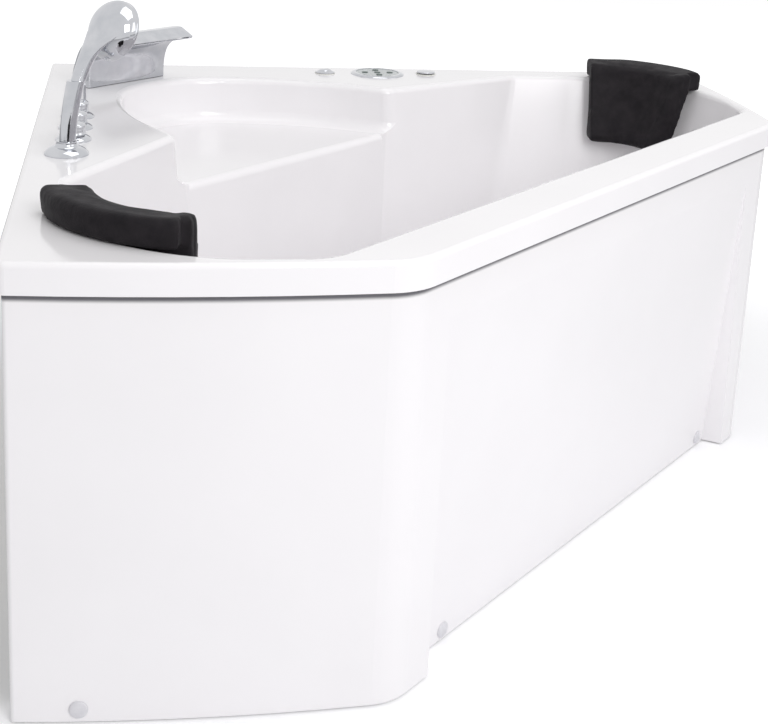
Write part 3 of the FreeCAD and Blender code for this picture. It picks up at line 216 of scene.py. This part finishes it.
@dataclass(frozen=True)
class FormedAcrylic(Finish):
    """Glossy formed sheet whose back, where it has one, shows the sprayed glass-fibre laminate.

    Attributes:
        back: sRGB hex of the laminate's resin.
        strand: sRGB hex of its glass strands.
        strand_mm: width of a strand.
        bend_mm: size of the sweeps in which the strands turn.
        wander: how far a strand strays from its line.
        splits: layers of finer noise in that straying.
        back_slope: faces whose normal points further down than this are the back.
        back_rough: roughness that the back has over the face's.
    """

    back: str = "#cfc7ad"
    strand: str = "#e9e4d2"
    strand_mm: float = 6.0
    bend_mm: float = 60.0
    wander: float = 9.0
    splits: float = 3.0
    back_slope: float = -0.03
    back_rough: float = 0.5

    def pattern(self, tree: Tree, place: Socket, shader: Node) -> None:
        """Draw the formed face and lay the laminate over the faces that point down.

        Args:
            tree: the material's tree.
            place: object coordinates in metres.
            shader: the node whose sockets the pattern feeds.
        """
        colour, gloss = self.tones(tree, self.patches(tree, place))
        normal = add_node(tree, "ShaderNodeNewGeometry").outputs["Normal"]
        facing = add_node(tree, "ShaderNodeSeparateXYZ", {0: normal}).outputs["Z"]
        under = add_node(tree, "ShaderNodeMath", {0: facing, 1: self.back_slope},
                         operation="LESS_THAN").outputs[0]
        mat = self.strands(tree, place)
        laminate = add_node(tree, "ShaderNodeMix", {
            FACTOR: mat, COLOUR_A: linear(self.back), COLOUR_B: linear(self.strand)}, data_type="RGBA")
        whole = add_node(tree, "ShaderNodeMix", {
            FACTOR: under, COLOUR_A: colour, COLOUR_B: laminate.outputs[MIXED_COLOUR]}, data_type="RGBA")
        matt = add_node(tree, "ShaderNodeMapRange", {
            "Value": under, "To Min": 0.0, "To Max": self.back_rough})
        dull = add_node(tree, "ShaderNodeMath", {0: gloss, 1: matt.outputs[0]}, operation="ADD")
        wave = add_node(tree, "ShaderNodeMix", {
            FACTOR: under, VALUE_A: self.relief(tree, place), VALUE_B: mat})
        self.feed(tree, shader, whole.outputs[MIXED_COLOUR], dull.outputs[0], wave.outputs[0])

    def strands(self, tree: Tree, place: Socket) -> Socket:
        """Chopped strands lying in every direction: bands on coordinates that a noise bends.

        Args:
            tree: the material's tree.
            place: object coordinates in metres.

        Returns:
            The strands, from 0 to 1.
        """
        bend = add_node(tree, "ShaderNodeTexNoise", {"Vector": place, "Scale": per_metre(self.bend_mm)})
        turned = add_node(tree, "ShaderNodeVectorMath", {0: place, 1: bend.outputs["Color"]},
                          operation="ADD")
        return add_node(tree, "ShaderNodeTexWave", {
            "Vector": turned.outputs[0], "Scale": per_metre(self.strand_mm) / math.tau,
            "Distortion": self.wander, "Detail": self.splits}).outputs["Fac"]


@dataclass(frozen=True)
class JointedPanel(Finish):
    """Formed panel with painted shade in its joint under the rim's lip: a dark band that stands in for
    the shadow of the gap.

    Attributes:
        joint: sRGB hex of the painted shade, the gap's shadow drawn into the panel's colour under the
            lip.
        lip_mm: height of the lip's lower edge.
        painted_shade_mm: how far below the lip the painted shade begins to fade and how far it reaches.
    """

    # Painted shade: a dark band on the panel just below the rim's lip, standing in for the gap's shadow.
    joint: str = "#6a696f"
    lip_mm: float = 612.0
    painted_shade_mm: tuple[float, float] = (6.0, 13.0)

    def pattern(self, tree: Tree, place: Socket, shader: Node) -> None:
        """Draw the plain face and paint the gap's shade on it where it goes up behind the lip.

        Args:
            tree: the material's tree.
            place: object coordinates in metres.
            shader: the node whose sockets the pattern feeds.
        """
        colour, gloss = self.tones(tree, self.patches(tree, place))
        # Painted shade: the panel darkens towards the lip, where the gap's shadow falls.
        height = add_node(tree, "ShaderNodeSeparateXYZ", {0: place}).outputs["Z"]
        full, end = [(self.lip_mm - below) * MM for below in self.painted_shade_mm]
        painted_shade_mask = add_node(tree, "ShaderNodeMapRange", {
            "Value": height, "From Min": end, "From Max": full}, interpolation_type="SMOOTHSTEP")
        whole = add_node(tree, "ShaderNodeMix", {
            FACTOR: painted_shade_mask.outputs[0], COLOUR_A: colour, COLOUR_B: linear(self.joint)}, data_type="RGBA")
        self.feed(tree, shader, whole.outputs[MIXED_COLOUR], gloss, self.relief(tree, place))


@dataclass(frozen=True)
class CellFinish(Finish):
    """A finish whose tone changes from cell to cell, such as zinc spangle or wood chips.

    Attributes:
        stretch: how much longer a cell is along each axis.
    """

    stretch: tuple[float, float, float] = (1.0, 1.0, 1.0)

    def patches(self, tree: Tree, place: Socket) -> Socket:
        """Give each cell one random tone.

        Args:
            tree: the material's tree.
            place: object coordinates in metres.

        Returns:
            The tone, from 0 to 1.
        """
        drawn = add_node(tree, "ShaderNodeMapping", {
            "Vector": place, "Scale": [1 / longer for longer in self.stretch]})
        cells = add_node(tree, "ShaderNodeTexVoronoi", {
            "Vector": drawn.outputs[0], "Scale": per_metre(self.patch_mm)})
        return add_node(tree, "ShaderNodeSeparateColor", {0: cells.outputs["Color"]}).outputs[0]


@dataclass(frozen=True)
class DimpledFinish(Finish):
    """A moulded skin whose relief is small shallow dimples with soft ridges between them.

    Attributes:
        ridge_softness: how far neighbouring dimples run into each other, from 0 to 1.
    """

    ridge_softness: float = 0.6

    def relief(self, tree: Tree, place: Socket) -> Socket:
        """Distance from the nearest dimple's middle, where the skin is lowest."""
        return add_node(tree, "ShaderNodeTexVoronoi", {
            "Vector": place, "Scale": per_metre(self.grain_mm), "Smoothness": self.ridge_softness},
            feature="SMOOTH_F1").outputs["Distance"]


class Finishes(Enum):
    """Every finish of the bathtub, each named for its stuff and its making, or for the shade that it
    paints.

    Each one gives its name, light, dark, patch_mm, rough, grain_mm and depth_mm, in that order.
    """

    # Cast acrylic sheet, vacuum-formed and backed with glass fibre: deep gloss, and the sheet's
    # long faint waviness bends the reflections.
    SHELL = FormedAcrylic("acrylic_sheet_vacuum_formed", "#f7f5f7", "#f4f2f4", 210.0, (0.09, 0.16),
                          170.0, 0.35, ior=1.49)
    # The same sheet, thinner and unbacked, for the panel: a touch more waviness over its wide faces,
    # and a thin dark line of painted shade where it meets the lip, standing in for the gap's shadow.
    PANEL = JointedPanel("acrylic_panel_vacuum_formed", "#f6f4f6", "#f3f1f3", 260.0, (0.11, 0.2),
                         230.0, 0.5, ior=1.49)
    # Polyurethane integral-skin foam: near black, cloudy tone and a dimpled skin. Its index of
    # refraction is below the real one, which gives the weak sheen of such a skin. Real dimples are
    # about 1 mm, drawn at 2.6 mm so that they show.
    FOAM = DimpledFinish("polyurethane_integral_skin", "#262326", "#1c1a1d", 22.0, (0.52, 0.62),
                         2.6, 0.25, ior=1.2)
    # Brass, nickel- and chrome-plated and polished: a cool mirror with faint smears.
    CHROME = Finish("chrome_polished", "#cbccd0", "#bfc1c6", 24.0, (0.03, 0.09), 30.0, 0.03,
                    metallic=1.0)
    # Turned brass bodies left bare below the deck: warm, satin, with a fine grain.
    BRASS = Finish("brass_turned", "#b8985a", "#9c7c40", 18.0, (0.26, 0.42), 1.6, 0.05, metallic=1.0)
    # Drawn copper tube, handled and slightly tarnished.
    COPPER = Finish("copper_tube_drawn", "#bd7a55", "#8e573a", 34.0, (0.22, 0.42), 9.0, 0.05,
                    metallic=1.0)
    # Square tube, hot-dip galvanised: grey with spangle of about 9 mm.
    FRAME = CellFinish("steel_tube_galvanised", "#b4b8bb", "#8f9498", 9.0, (0.3, 0.5), 14.0, 0.06,
                       metallic=1.0, stretch=(1.0, 1.0, 1.6))
    # Screws, nuts, brackets and clips, zinc-plated and passivated: bright with a straw-blue cast.
    ZINC = Finish("steel_zinc_plated", "#c7c6ba", "#a9b1b8", 11.0, (0.22, 0.36), 4.0, 0.03,
                  metallic=1.0)
    # Pressed chipboard: flakes of about 7 by 4 by 3 mm in browns, matt and slightly rough.
    BOARD = CellFinish("chipboard_pressed", "#d4b98c", "#a07d50", 3.4, (0.68, 0.85), 3.0, 0.25,
                       stretch=(2.1, 1.3, 1.0))
    # Compression-moulded EPDM: matt, black, faintly dusty.
    RUBBER = Finish("epdm_rubber_moulded", "#2b2b2d", "#1c1c1e", 16.0, (0.68, 0.85), 1.8, 0.08)
    # Injection-moulded nylon with a spark-eroded texture.
    BLACK_NYLON = Finish("nylon_black_moulded", "#2c2d30", "#222326", 22.0, (0.42, 0.55), 1.7, 0.1)
    # White polypropylene waste fittings: satin, with a faint orange-peel skin.
    WASTE = Finish("polypropylene_white_moulded", "#e9e9e4", "#dcdcd6", 40.0, (0.32, 0.46), 4.5, 0.1)
    # Extruded PVC air pipe: light grey, long faint draw marks.
    PIPE = CellFinish("pvc_pipe_extruded", "#dfe2e4", "#d2d6d9", 5.0, (0.28, 0.4), 6.0, 0.05,
                      stretch=(6.0, 6.0, 1.0))
    # ABS screw caps, moulded: greyish white, satin.
    CAP = Finish("abs_white_moulded", "#dedde1", "#d4d3d8", 9.0, (0.26, 0.36), 3.0, 0.04)
    # Acetal bodies of the two small deck controls.
    ACETAL = Finish("acetal_white_moulded", "#e4e4df", "#d8d8d2", 14.0, (0.34, 0.46), 2.4, 0.06)
    # Hard-coated polycarbonate face of the control panel: pale silver grey, finely frosted.
    FACE = Finish("polycarbonate_silver_printed", "#babfc0", "#aab0b1", 8.0, (0.2, 0.3), 1.2, 0.03)
    # Soft-touch silicone keys: dark green-grey, matt.
    KEYS = Finish("silicone_key_moulded", "#64716d", "#545f5c", 4.0, (0.5, 0.62), 1.0, 0.04)
    # ABS spray plate with silicone nozzles: mid grey, satin.
    SPRAY = Finish("abs_grey_moulded", "#a9adb0", "#989da1", 10.0, (0.34, 0.46), 2.0, 0.05)
    # Painted shade: dark matt discs standing in for the shade inside the small outlets of the air
    # nozzles.
    PAINTED_OUTLET_SHADE = Finish("painted_outlet_shade", "#26282a", "#202224", 6.0, (0.5, 0.6), 1.0, 0.01)


# Assemblies ----------------------------------------------------------------------------------
@dataclass
class SubAssembly:
    """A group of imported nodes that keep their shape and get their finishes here.

    Attributes:
        finishes: for each finish, the nodes that have it.
    """

    finishes: dict[Finishes, tuple[str, ...]]

    def dress(self) -> None:
        """Put each finish in its nodes' material slots."""
        for finish, nodes in self.finishes.items():
            material = finish.value.build()
            for node in nodes:
                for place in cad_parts[node].material_slots:
                    place.material = material
                log.info("%s: %s", node, material.name)

    def build(self) -> list[Piece]:
        """Make the assembly's own pieces; a plain assembly has none."""
        return []


def new_piece(name: str, mesh: bpy.types.Mesh) -> Piece:
    """Add a mesh object at the origin.

    Args:
        name: the piece's name.
        mesh: its mesh, already in place.

    Returns:
        The new object, linked to the scene.
    """
    piece = bpy.data.objects.new(name, mesh)
    bpy.context.scene.collection.objects.link(piece)
    return piece


@dataclass
class Repeat:
    """One small turned shape set at many places by a geometry tree.

    Attributes:
        name: the piece's name.
        places: the shape's places, in metres.
        radius: outer radius of the shape.
        height: its height along Z.
        count: how many shapes stand at each place.
        pitch: distance between them, up along Z; a ring doesn't use it.
        ring: radius of the ring that they stand on, or 0 for a row along Z.
        sides: facets round one shape.
    """

    name: str
    places: Sequence[Vector]
    radius: float
    height: float
    count: int
    pitch: float = 0.0
    ring: float = 0.0
    sides: int = 12

    def build(self, finish: Finishes, body: str, slot: str) -> Piece:
        """Run the tree and keep its result as a plain mesh on its body.

        Args:
            finish: the finish of the shapes.
            body: the body that the piece rides on.
            slot: the record's material slot; not used.

        Returns:
            The finished piece.
        """
        mesh = bpy.data.meshes.new(self.name)
        mesh.from_pydata([tuple(p) for p in self.places], [], [])
        piece = new_piece(self.name, mesh)
        modifier = piece.modifiers.new("repeat", "NODES")
        modifier.node_group = self.tree(finish.value.build())
        values = {"Radius": self.radius, "Height": self.height, "Count": self.count,
                  "Pitch": self.pitch, "Ring": self.ring, "Sides": self.sides}
        for item in modifier.node_group.interface.items_tree:
            if item.item_type == "SOCKET" and item.in_out == "INPUT" and item.name in values:
                modifier[item.identifier] = values[item.name]
        graph = bpy.context.evaluated_depsgraph_get()
        piece.data = bpy.data.meshes.new_from_object(piece.evaluated_get(graph))
        piece.data.name = self.name
        piece.modifiers.clear()
        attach(piece, body)
        log.info("%s: %d shapes, %d faces", self.name, len(self.places) * self.count,
                 len(piece.data.polygons))
        return piece

    def tree(self, material: Material) -> Tree:
        """Build the tree: a turned shape, a row or a ring of it, and one such set at each place.

        Args:
            material: the finish that the tree sets.

        Returns:
            The geometry tree with named inputs.
        """
        tree = bpy.data.node_groups.new(f"{self.name}_tree", "GeometryNodeTree")
        face = tree.interface
        face.new_socket("Geometry", in_out="INPUT", socket_type="NodeSocketGeometry")
        for name, kind in (("Radius", "Float"), ("Height", "Float"), ("Count", "Int"), ("Pitch", "Float"),
                           ("Ring", "Float"), ("Sides", "Int")):
            face.new_socket(name, in_out="INPUT", socket_type=f"NodeSocket{kind}")
        face.new_socket("Geometry", in_out="OUTPUT", socket_type="NodeSocketGeometry")
        given = add_node(tree, "NodeGroupInput").outputs
        shape = add_node(tree, "GeometryNodeMeshCylinder", {
            "Vertices": given["Sides"], "Radius": given["Radius"], "Depth": given["Height"]})
        if self.ring:
            set_out = add_node(tree, "GeometryNodeMeshCircle", {"Vertices": given["Count"],
                                                                "Radius": given["Ring"]})
        else:
            step = add_node(tree, "ShaderNodeCombineXYZ", {"Z": given["Pitch"]})
            set_out = add_node(tree, "GeometryNodeMeshLine", {"Count": given["Count"],
                                                              "Offset": step.outputs[0]})
        group = add_node(tree, "GeometryNodeInstanceOnPoints", {"Points": set_out.outputs[0],
                                                                "Instance": shape.outputs[0]})
        every = add_node(tree, "GeometryNodeInstanceOnPoints", {"Points": given["Geometry"],
                                                                "Instance": group.outputs[0]})
        real = add_node(tree, "GeometryNodeRealizeInstances", {0: every.outputs[0]})
        finished = add_node(tree, "GeometryNodeSetMaterial", {0: real.outputs[0], "Material": material})
        add_node(tree, "NodeGroupOutput", {0: finished.outputs[0]})
        return tree


@dataclass
class FootThreads(SubAssembly):
    """Threads on the levelling bolts between the pads and the lock nuts.

    Attributes:
        bolt_radius: radius over the thread's crests.
        low: height of the lowest crest.
        high: height of the highest crest.
        pitch: distance between crests, drawn at 2.2 mm so that it shows; an M12 thread has 1.75 mm.
        crest: share of the pitch that a crest takes up.
        sides: facets round one crest.
    """

    bolt_radius: float = 6.35 * MM
    low: float = 18.0 * MM
    high: float = 121.0 * MM
    pitch: float = 2.2 * MM
    crest: float = 0.5
    sides: int = 20

    def build(self) -> list[Piece]:
        """Stack crests on every bolt.

        Returns:
            The one piece that holds all crests.
        """
        bolts = islands(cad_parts["foot_bolts"].data)
        places = [Vector((middle.x, middle.y, self.low)) for middle in bolts]
        count = int((self.high - self.low) / self.pitch)
        rings = Repeat("foot_bolt_threads", places, self.bolt_radius, self.pitch * self.crest, count,
                       self.pitch, sides=self.sides)
        return [rings.build(Finishes.ZINC, "tub", "zinc_steel")]


@dataclass
class AirNozzles(SubAssembly):
    """Ring of small outlets in the cap of each floor nozzle, drawn as thin dark discs of painted shade.

    Attributes:
        outlet_radius: radius of one outlet.
        ring: radius of the ring of outlets.
        outlets: outlets in one cap.
        thickness: thickness of the disc that shows as an outlet.
    """

    outlet_radius: float = 0.9 * MM
    ring: float = 5.4 * MM
    outlets: int = 6
    thickness: float = 0.1 * MM

    def build(self) -> list[Piece]:
        """Set the outlets on every cap.

        Returns:
            The one piece that holds all outlets.
        """
        caps = islands(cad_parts["air_nozzles"].data)
        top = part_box("air_nozzles")[1].z
        places = [Vector((middle.x, middle.y, top)) for middle in caps]
        # The outlets are painted shade: thin dark discs on the cap where the holes would look dark.
        holes = Repeat("air_nozzle_outlet_shade", places, self.outlet_radius, self.thickness, self.outlets,
                       ring=self.ring)
        return [holes.build(Finishes.PAINTED_OUTLET_SHADE, "tub", "black_plastic")]


def islands(mesh: bpy.types.Mesh) -> list[Vector]:
    """Find the middle of each separate solid in a node's mesh.

    Args:
        mesh: a mesh whose solids don't touch; it isn't changed.

    Returns:
        The middle of each solid's bounding box.
    """
    rows: dict[tuple[int, int, int], int] = {}
    places = [rows.setdefault(tuple(round(c / SAME_PLACE) for c in v.co), len(rows))
              for v in mesh.vertices]
    owner = list(range(len(rows)))

    def root(i: int) -> int:
        """Follow an entry to its set's first one.

        Args:
            i: the entry's number.

        Returns:
            The number of the set's first entry.
        """
        while owner[i] != i:
            owner[i] = owner[owner[i]]
            i = owner[i]
        return i

    for polygon in mesh.polygons:
        first = root(places[polygon.vertices[0]])
        for other in polygon.vertices[1:]:
            owner[root(places[other])] = first
    boxes: dict[int, list[Vector]] = {}
    for vertex in mesh.vertices:
        boxes.setdefault(root(places[vertex.index]), []).append(vertex.co)
    return [sum((Vector([f(p[i] for p in points) for i in range(3)]) for f in (min, max)), Vector()) / 2
            for points in boxes.values()]


@dataclass
class NeckPillow:
    """One soft moulded pillow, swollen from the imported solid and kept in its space.

    Attributes:
        node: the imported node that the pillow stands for.
        body: the body it rides on.
        voxel: size of the remesh.
        rounding: smoothing passes that round the moulded edges.
        smoothing: how far one pass moves a point towards its neighbours' middle.
        pressure: how hard the skin is blown.
        steps: solver steps in each simulated frame.
        frames: simulated frames.
        most_swell: the furthest that a point may move.
        proud: how far the skin may stand out of the solid.
    """

    node: str
    body: str
    voxel: float = 5.0 * MM
    rounding: int = 4
    smoothing: float = 0.5
    pressure: float = 4.0
    steps: int = 6
    frames: int = 20
    most_swell: float = 2.5 * MM
    proud: float = 0.6 * MM

    def build(self) -> Piece:
        """Remesh, round, blow up, hold in place and dress the pillow.

        Returns:
            The finished pillow.
        """
        solid = self.merged_copy()
        hold = BVHTree.FromObject(solid, bpy.context.evaluated_depsgraph_get())
        self.remesh(solid)
        self.swell(solid)
        self.keep_in(solid, hold)
        self.subdivide(solid)
        solid.data.materials.clear()
        solid.data.materials.append(Finishes.FOAM.value.build())
        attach(solid, self.body)
        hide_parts(self.node)
        log.info("%s: %d faces", solid.name, len(solid.data.polygons))
        return solid

    def merged_copy(self) -> Piece:
        """Copy the node's mesh with its doubles merged.

        Returns:
            The copy, as a piece of its own.
        """
        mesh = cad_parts[self.node].data.copy()
        mesh.name = f"{self.node}_skin"
        work = bmesh.new()
        work.from_mesh(mesh)
        bmesh.ops.remove_doubles(work, verts=work.verts, dist=SAME_PLACE)
        work.to_mesh(mesh)
        work.free()
        return new_piece(f"{self.node}_skin", mesh)

    def applied(self, piece: Piece) -> None:
        """Keep the evaluated mesh and drop the modifiers.

        Args:
            piece: the piece whose modifiers are applied.
        """
        graph = bpy.context.evaluated_depsgraph_get()
        mesh = bpy.data.meshes.new_from_object(piece.evaluated_get(graph))
        piece.modifiers.clear()
        piece.data = mesh

    def remesh(self, piece: Piece) -> None:
        """Even out the faces and round the edges.

        Args:
            piece: the merged copy of the solid.
        """
        remesh = piece.modifiers.new("remesh", "REMESH")
        remesh.mode = "VOXEL"
        remesh.voxel_size = self.voxel
        smooth = piece.modifiers.new("round", "SMOOTH")
        smooth.factor = self.smoothing
        smooth.iterations = self.rounding
        self.applied(piece)

    def swell(self, piece: Piece) -> None:
        """Blow the skin up by cloth simulation, with each point's travel capped.
        """
        start = [v.co.copy() for v in piece.data.vertices]
        cloth = piece.modifiers.new("cloth", "CLOTH")
        cloth.settings.use_pressure = True
        cloth.settings.uniform_pressure_force = self.pressure
        cloth.settings.effector_weights.gravity = 0
        cloth.settings.quality = self.steps
        for number in range(1, self.frames + 1):
            bpy.context.scene.frame_set(number)
        self.applied(piece)
        bpy.context.scene.frame_set(1)
        for vertex, rest in zip(piece.data.vertices, start):
            travel = vertex.co - rest
            if travel.length > self.most_swell:
                vertex.co = rest + travel.normalized() * self.most_swell

    def keep_in(self, piece: Piece, hold: BVHTree) -> None:
        """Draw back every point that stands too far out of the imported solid.

        Args:
            piece: the skin.
            hold: the solid's faces, for finding the nearest one.
        """
        for vertex in piece.data.vertices:
            nearest, normal, _, _ = hold.find_nearest(vertex.co)
            out = (vertex.co - nearest).dot(normal)
            if out > self.proud:
                vertex.co = nearest + normal * self.proud

    def subdivide(self, piece: Piece) -> None:
        """Smooth the skin with one subdivision.

        Args:
            piece: the skin.
        """
        fine = piece.modifiers.new("fine", "SUBSURF")
        fine.levels = fine.render_levels = 1
        self.applied(piece)
        piece.data.shade_smooth()


# Studio --------------------------------------------------------------------------------------
@dataclass(frozen=True)
class Lamp:
    """One soft lamp: its place and aim in metres, its side and its power in watts."""

    name: str
    place: tuple[float, float, float]
    aim: tuple[float, float, float]
    side: float
    watts: float

    def build(self) -> None:
        """Hang the lamp."""
        light = bpy.data.lights.new(self.name, "AREA")
        light.shape = "SQUARE"
        light.size = self.side
        light.energy = self.watts
        lamp = bpy.data.objects.new(self.name, light)
        toward = Vector(self.aim) - Vector(self.place)
        turn = toward.to_track_quat("-Z", "Y").to_matrix().to_4x4()
        lamp.matrix_world = Matrix.Translation(self.place) @ turn
        bpy.context.scene.collection.objects.link(lamp)


@dataclass
class Studio:
    """Pale floor, white surroundings, soft lamps and the camera.

    Attributes:
        ambient: strength of the surroundings as a light.
        seen: strength of the surroundings as they are seen, where 1 is white.
        paper: sRGB hex of the floor.
        floor_half: half the floor's side.
        glow: what the floor adds for the camera near the tub and far from it.
        fade: distances from the tub's middle between which the glow rises.
        sensor: the camera's sensor width in millimetres.
        lens: focal length in millimetres.
        shift: the frame's shift, as shares of its long side.
        camera_place: where the camera stands, in metres.
        camera_turn: how it is turned, in degrees.
        lamps: the lamps.
    """

    ambient: float = 0.55
    seen: float = 1.0
    paper: str = "#f6f6f8"
    floor_half: float = 7.0
    glow: tuple[float, float] = (0.14, 0.62)
    fade: tuple[float, float] = (1.0, 2.4)
    sensor: float = 36.0
    lens: float = 68.146
    shift: tuple[float, float] = (0.0424, -0.2109)
    camera_place: tuple[float, float, float] = (-0.5370, -2.4317, 1.2104)
    camera_turn: tuple[float, float, float] = (74.858, -2.401, -8.262)
    lamps: tuple[Lamp, ...] = (
        Lamp("front_lamp", (0.9, -3.5, 2.6), (0.0, -0.1, 0.3), 1.8, 58.0),
        Lamp("top_lamp", (0.3, -0.2, 3.4), (0.0, 0.0, 0.4), 2.2, 20.0),
        Lamp("side_lamp", (3.2, -1.4, 2.0), (0.1, 0.0, 0.3), 2.0, 10.0),
    )

    def build(self) -> None:
        """Set up the whole studio."""
        scene = bpy.context.scene
        scene.view_settings.view_transform = "Standard"
        self.surroundings(scene)
        self.floor()
        for lamp in self.lamps:
            lamp.build()
        self.camera(scene)

    def surroundings(self, scene: bpy.types.Scene) -> None:
        """White for the camera and in gloss and glass, and a lower even light for everything else.

        Args:
            scene: the scene that gets the world.
        """
        world = bpy.data.worlds.new("white_room")
        world.use_nodes = True
        tree = world.node_tree
        tree.nodes.clear()
        rays = add_node(tree, "ShaderNodeLightPath").outputs
        seen = add_node(tree, "ShaderNodeMath", {0: rays["Is Camera Ray"], 1: rays["Is Glossy Ray"]},
                        operation="MAXIMUM")
        shown = add_node(tree, "ShaderNodeMath", {0: seen.outputs[0], 1: rays["Is Transmission Ray"]},
                         operation="MAXIMUM")
        light, white = [
            add_node(tree, "ShaderNodeBackground", {"Color": linear(WHITE), "Strength": strength})
            for strength in (self.ambient, self.seen)]
        both = add_node(tree, "ShaderNodeMixShader", {
            0: shown.outputs[0], 1: light.outputs[0], 2: white.outputs[0]})
        add_node(tree, "ShaderNodeOutputWorld", {"Surface": both.outputs[0]})
        scene.world = world

    def floor(self) -> None:
        """Pale matt floor that keeps the tub's shadow and otherwise meets the white behind it."""
        half = self.floor_half
        mesh = bpy.data.meshes.new("floor")
        mesh.from_pydata([(-half, -half, 0), (half, -half, 0), (half, half, 0), (-half, half, 0)], [],
                         [(0, 1, 2, 3)])
        floor = new_piece("floor", mesh)
        material = bpy.data.materials.new("floor_paper_matt")
        material.use_nodes = True
        tree = material.node_tree
        tree.nodes.clear()
        rays = add_node(tree, "ShaderNodeLightPath").outputs
        paper = add_node(tree, "ShaderNodeBsdfDiffuse", {"Color": linear(self.paper)})
        place = add_node(tree, "ShaderNodeTexCoord").outputs["Object"]
        away = add_node(tree, "ShaderNodeVectorMath", {0: place}, operation="LENGTH").outputs["Value"]
        rise = add_node(tree, "ShaderNodeMapRange", {
            "Value": away, "From Min": self.fade[0], "From Max": self.fade[1],
            "To Min": self.glow[0], "To Max": self.glow[1]}, interpolation_type="SMOOTHSTEP").outputs[0]
        lift = add_node(tree, "ShaderNodeMath", {0: rays["Is Camera Ray"], 1: rise},
                        operation="MULTIPLY")
        glow = add_node(tree, "ShaderNodeEmission", {
            "Color": linear(WHITE), "Strength": lift.outputs[0]})
        both = add_node(tree, "ShaderNodeAddShader", {0: paper.outputs[0], 1: glow.outputs[0]})
        add_node(tree, "ShaderNodeOutputMaterial", {"Surface": both.outputs[0]})
        mesh.materials.append(material)

    def camera(self, scene: bpy.types.Scene) -> None:
        """Stand the camera where the photograph was taken from.

        Args:
            scene: the scene that gets the camera.
        """
        data = bpy.data.cameras.new("camera")
        data.sensor_width = self.sensor
        data.lens = self.lens
        data.shift_x, data.shift_y = self.shift
        camera = bpy.data.objects.new("camera", data)
        camera.location = self.camera_place
        camera.rotation_euler = [math.radians(a) for a in self.camera_turn]
        scene.collection.objects.link(camera)
        scene.camera = camera


# Making --------------------------------------------------------------------------------------
def assemblies() -> list[SubAssembly]:
    """List the sub-assemblies in the order in which they are dressed.

    Returns:
        One entry for each group of nodes.
    """
    keys = tuple(f"{place}_key" for place in ("centre", "right", "back", "left", "front"))
    return [
        SubAssembly({Finishes.SHELL: ("tub_shell",)}),
        SubAssembly({Finishes.PANEL: ("skirt",), Finishes.CAP: ("screw_caps",),
                     Finishes.ZINC: ("skirt_brackets", "skirt_screws", "skirt_clips")}),
        FootThreads({Finishes.BOARD: ("base_board",), Finishes.FRAME: ("frame_rails", "frame_posts"),
                     Finishes.ZINC: ("foot_bolts", "foot_nuts"), Finishes.BLACK_NYLON: ("foot_pads",)}),
        SubAssembly({Finishes.CHROME: ("drain_flange", "drain_plug", "overflow_plate", "overflow_knob"),
                     Finishes.RUBBER: ("drain_gasket", "overflow_gasket"),
                     Finishes.WASTE: ("drain_body", "trap", "trap_nuts", "overflow_body",
                                      "overflow_pipe")}),
        SubAssembly({Finishes.CHROME: ("hot_flange", "cold_flange", "diverter_flange", "hot_knob",
                                       "cold_knob", "diverter_knob", "spout", "handset_holder",
                                       "handset"),
                     Finishes.BRASS: ("hot_valve", "cold_valve", "diverter_valve", "deck_nuts",
                                      "spout_tail"),
                     Finishes.COPPER: ("mixed_pipes", "spout_pipe"),
                     Finishes.RUBBER: ("spout_gasket",), Finishes.SPRAY: ("spray_plate",)}),
        SubAssembly({Finishes.CHROME: ("air_knob", "power_button", "control_ring"),
                     Finishes.ACETAL: ("air_valve", "power_switch"), Finishes.FACE: ("control_face",),
                     Finishes.KEYS: keys, Finishes.BLACK_NYLON: ("control_box",)}),
        AirNozzles({Finishes.CHROME: ("air_nozzles",), Finishes.PIPE: ("air_loop", "air_riser"),
                    Finishes.BOARD: ("blower_shelf",), Finishes.BLACK_NYLON: ("blower",)}),
    ]


def main() -> None:
    """Build the studio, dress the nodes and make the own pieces."""
    logging.basicConfig(level=logging.INFO, format="%(name)s %(message)s")
    Studio().build()
    for assembly in assemblies():
        assembly.dress()
        assembly.build()
    for side in ("left", "right"):
        NeckPillow(f"{side}_pillow", f"pillow_{side}").build()


if __name__ == "__main__":
    main()
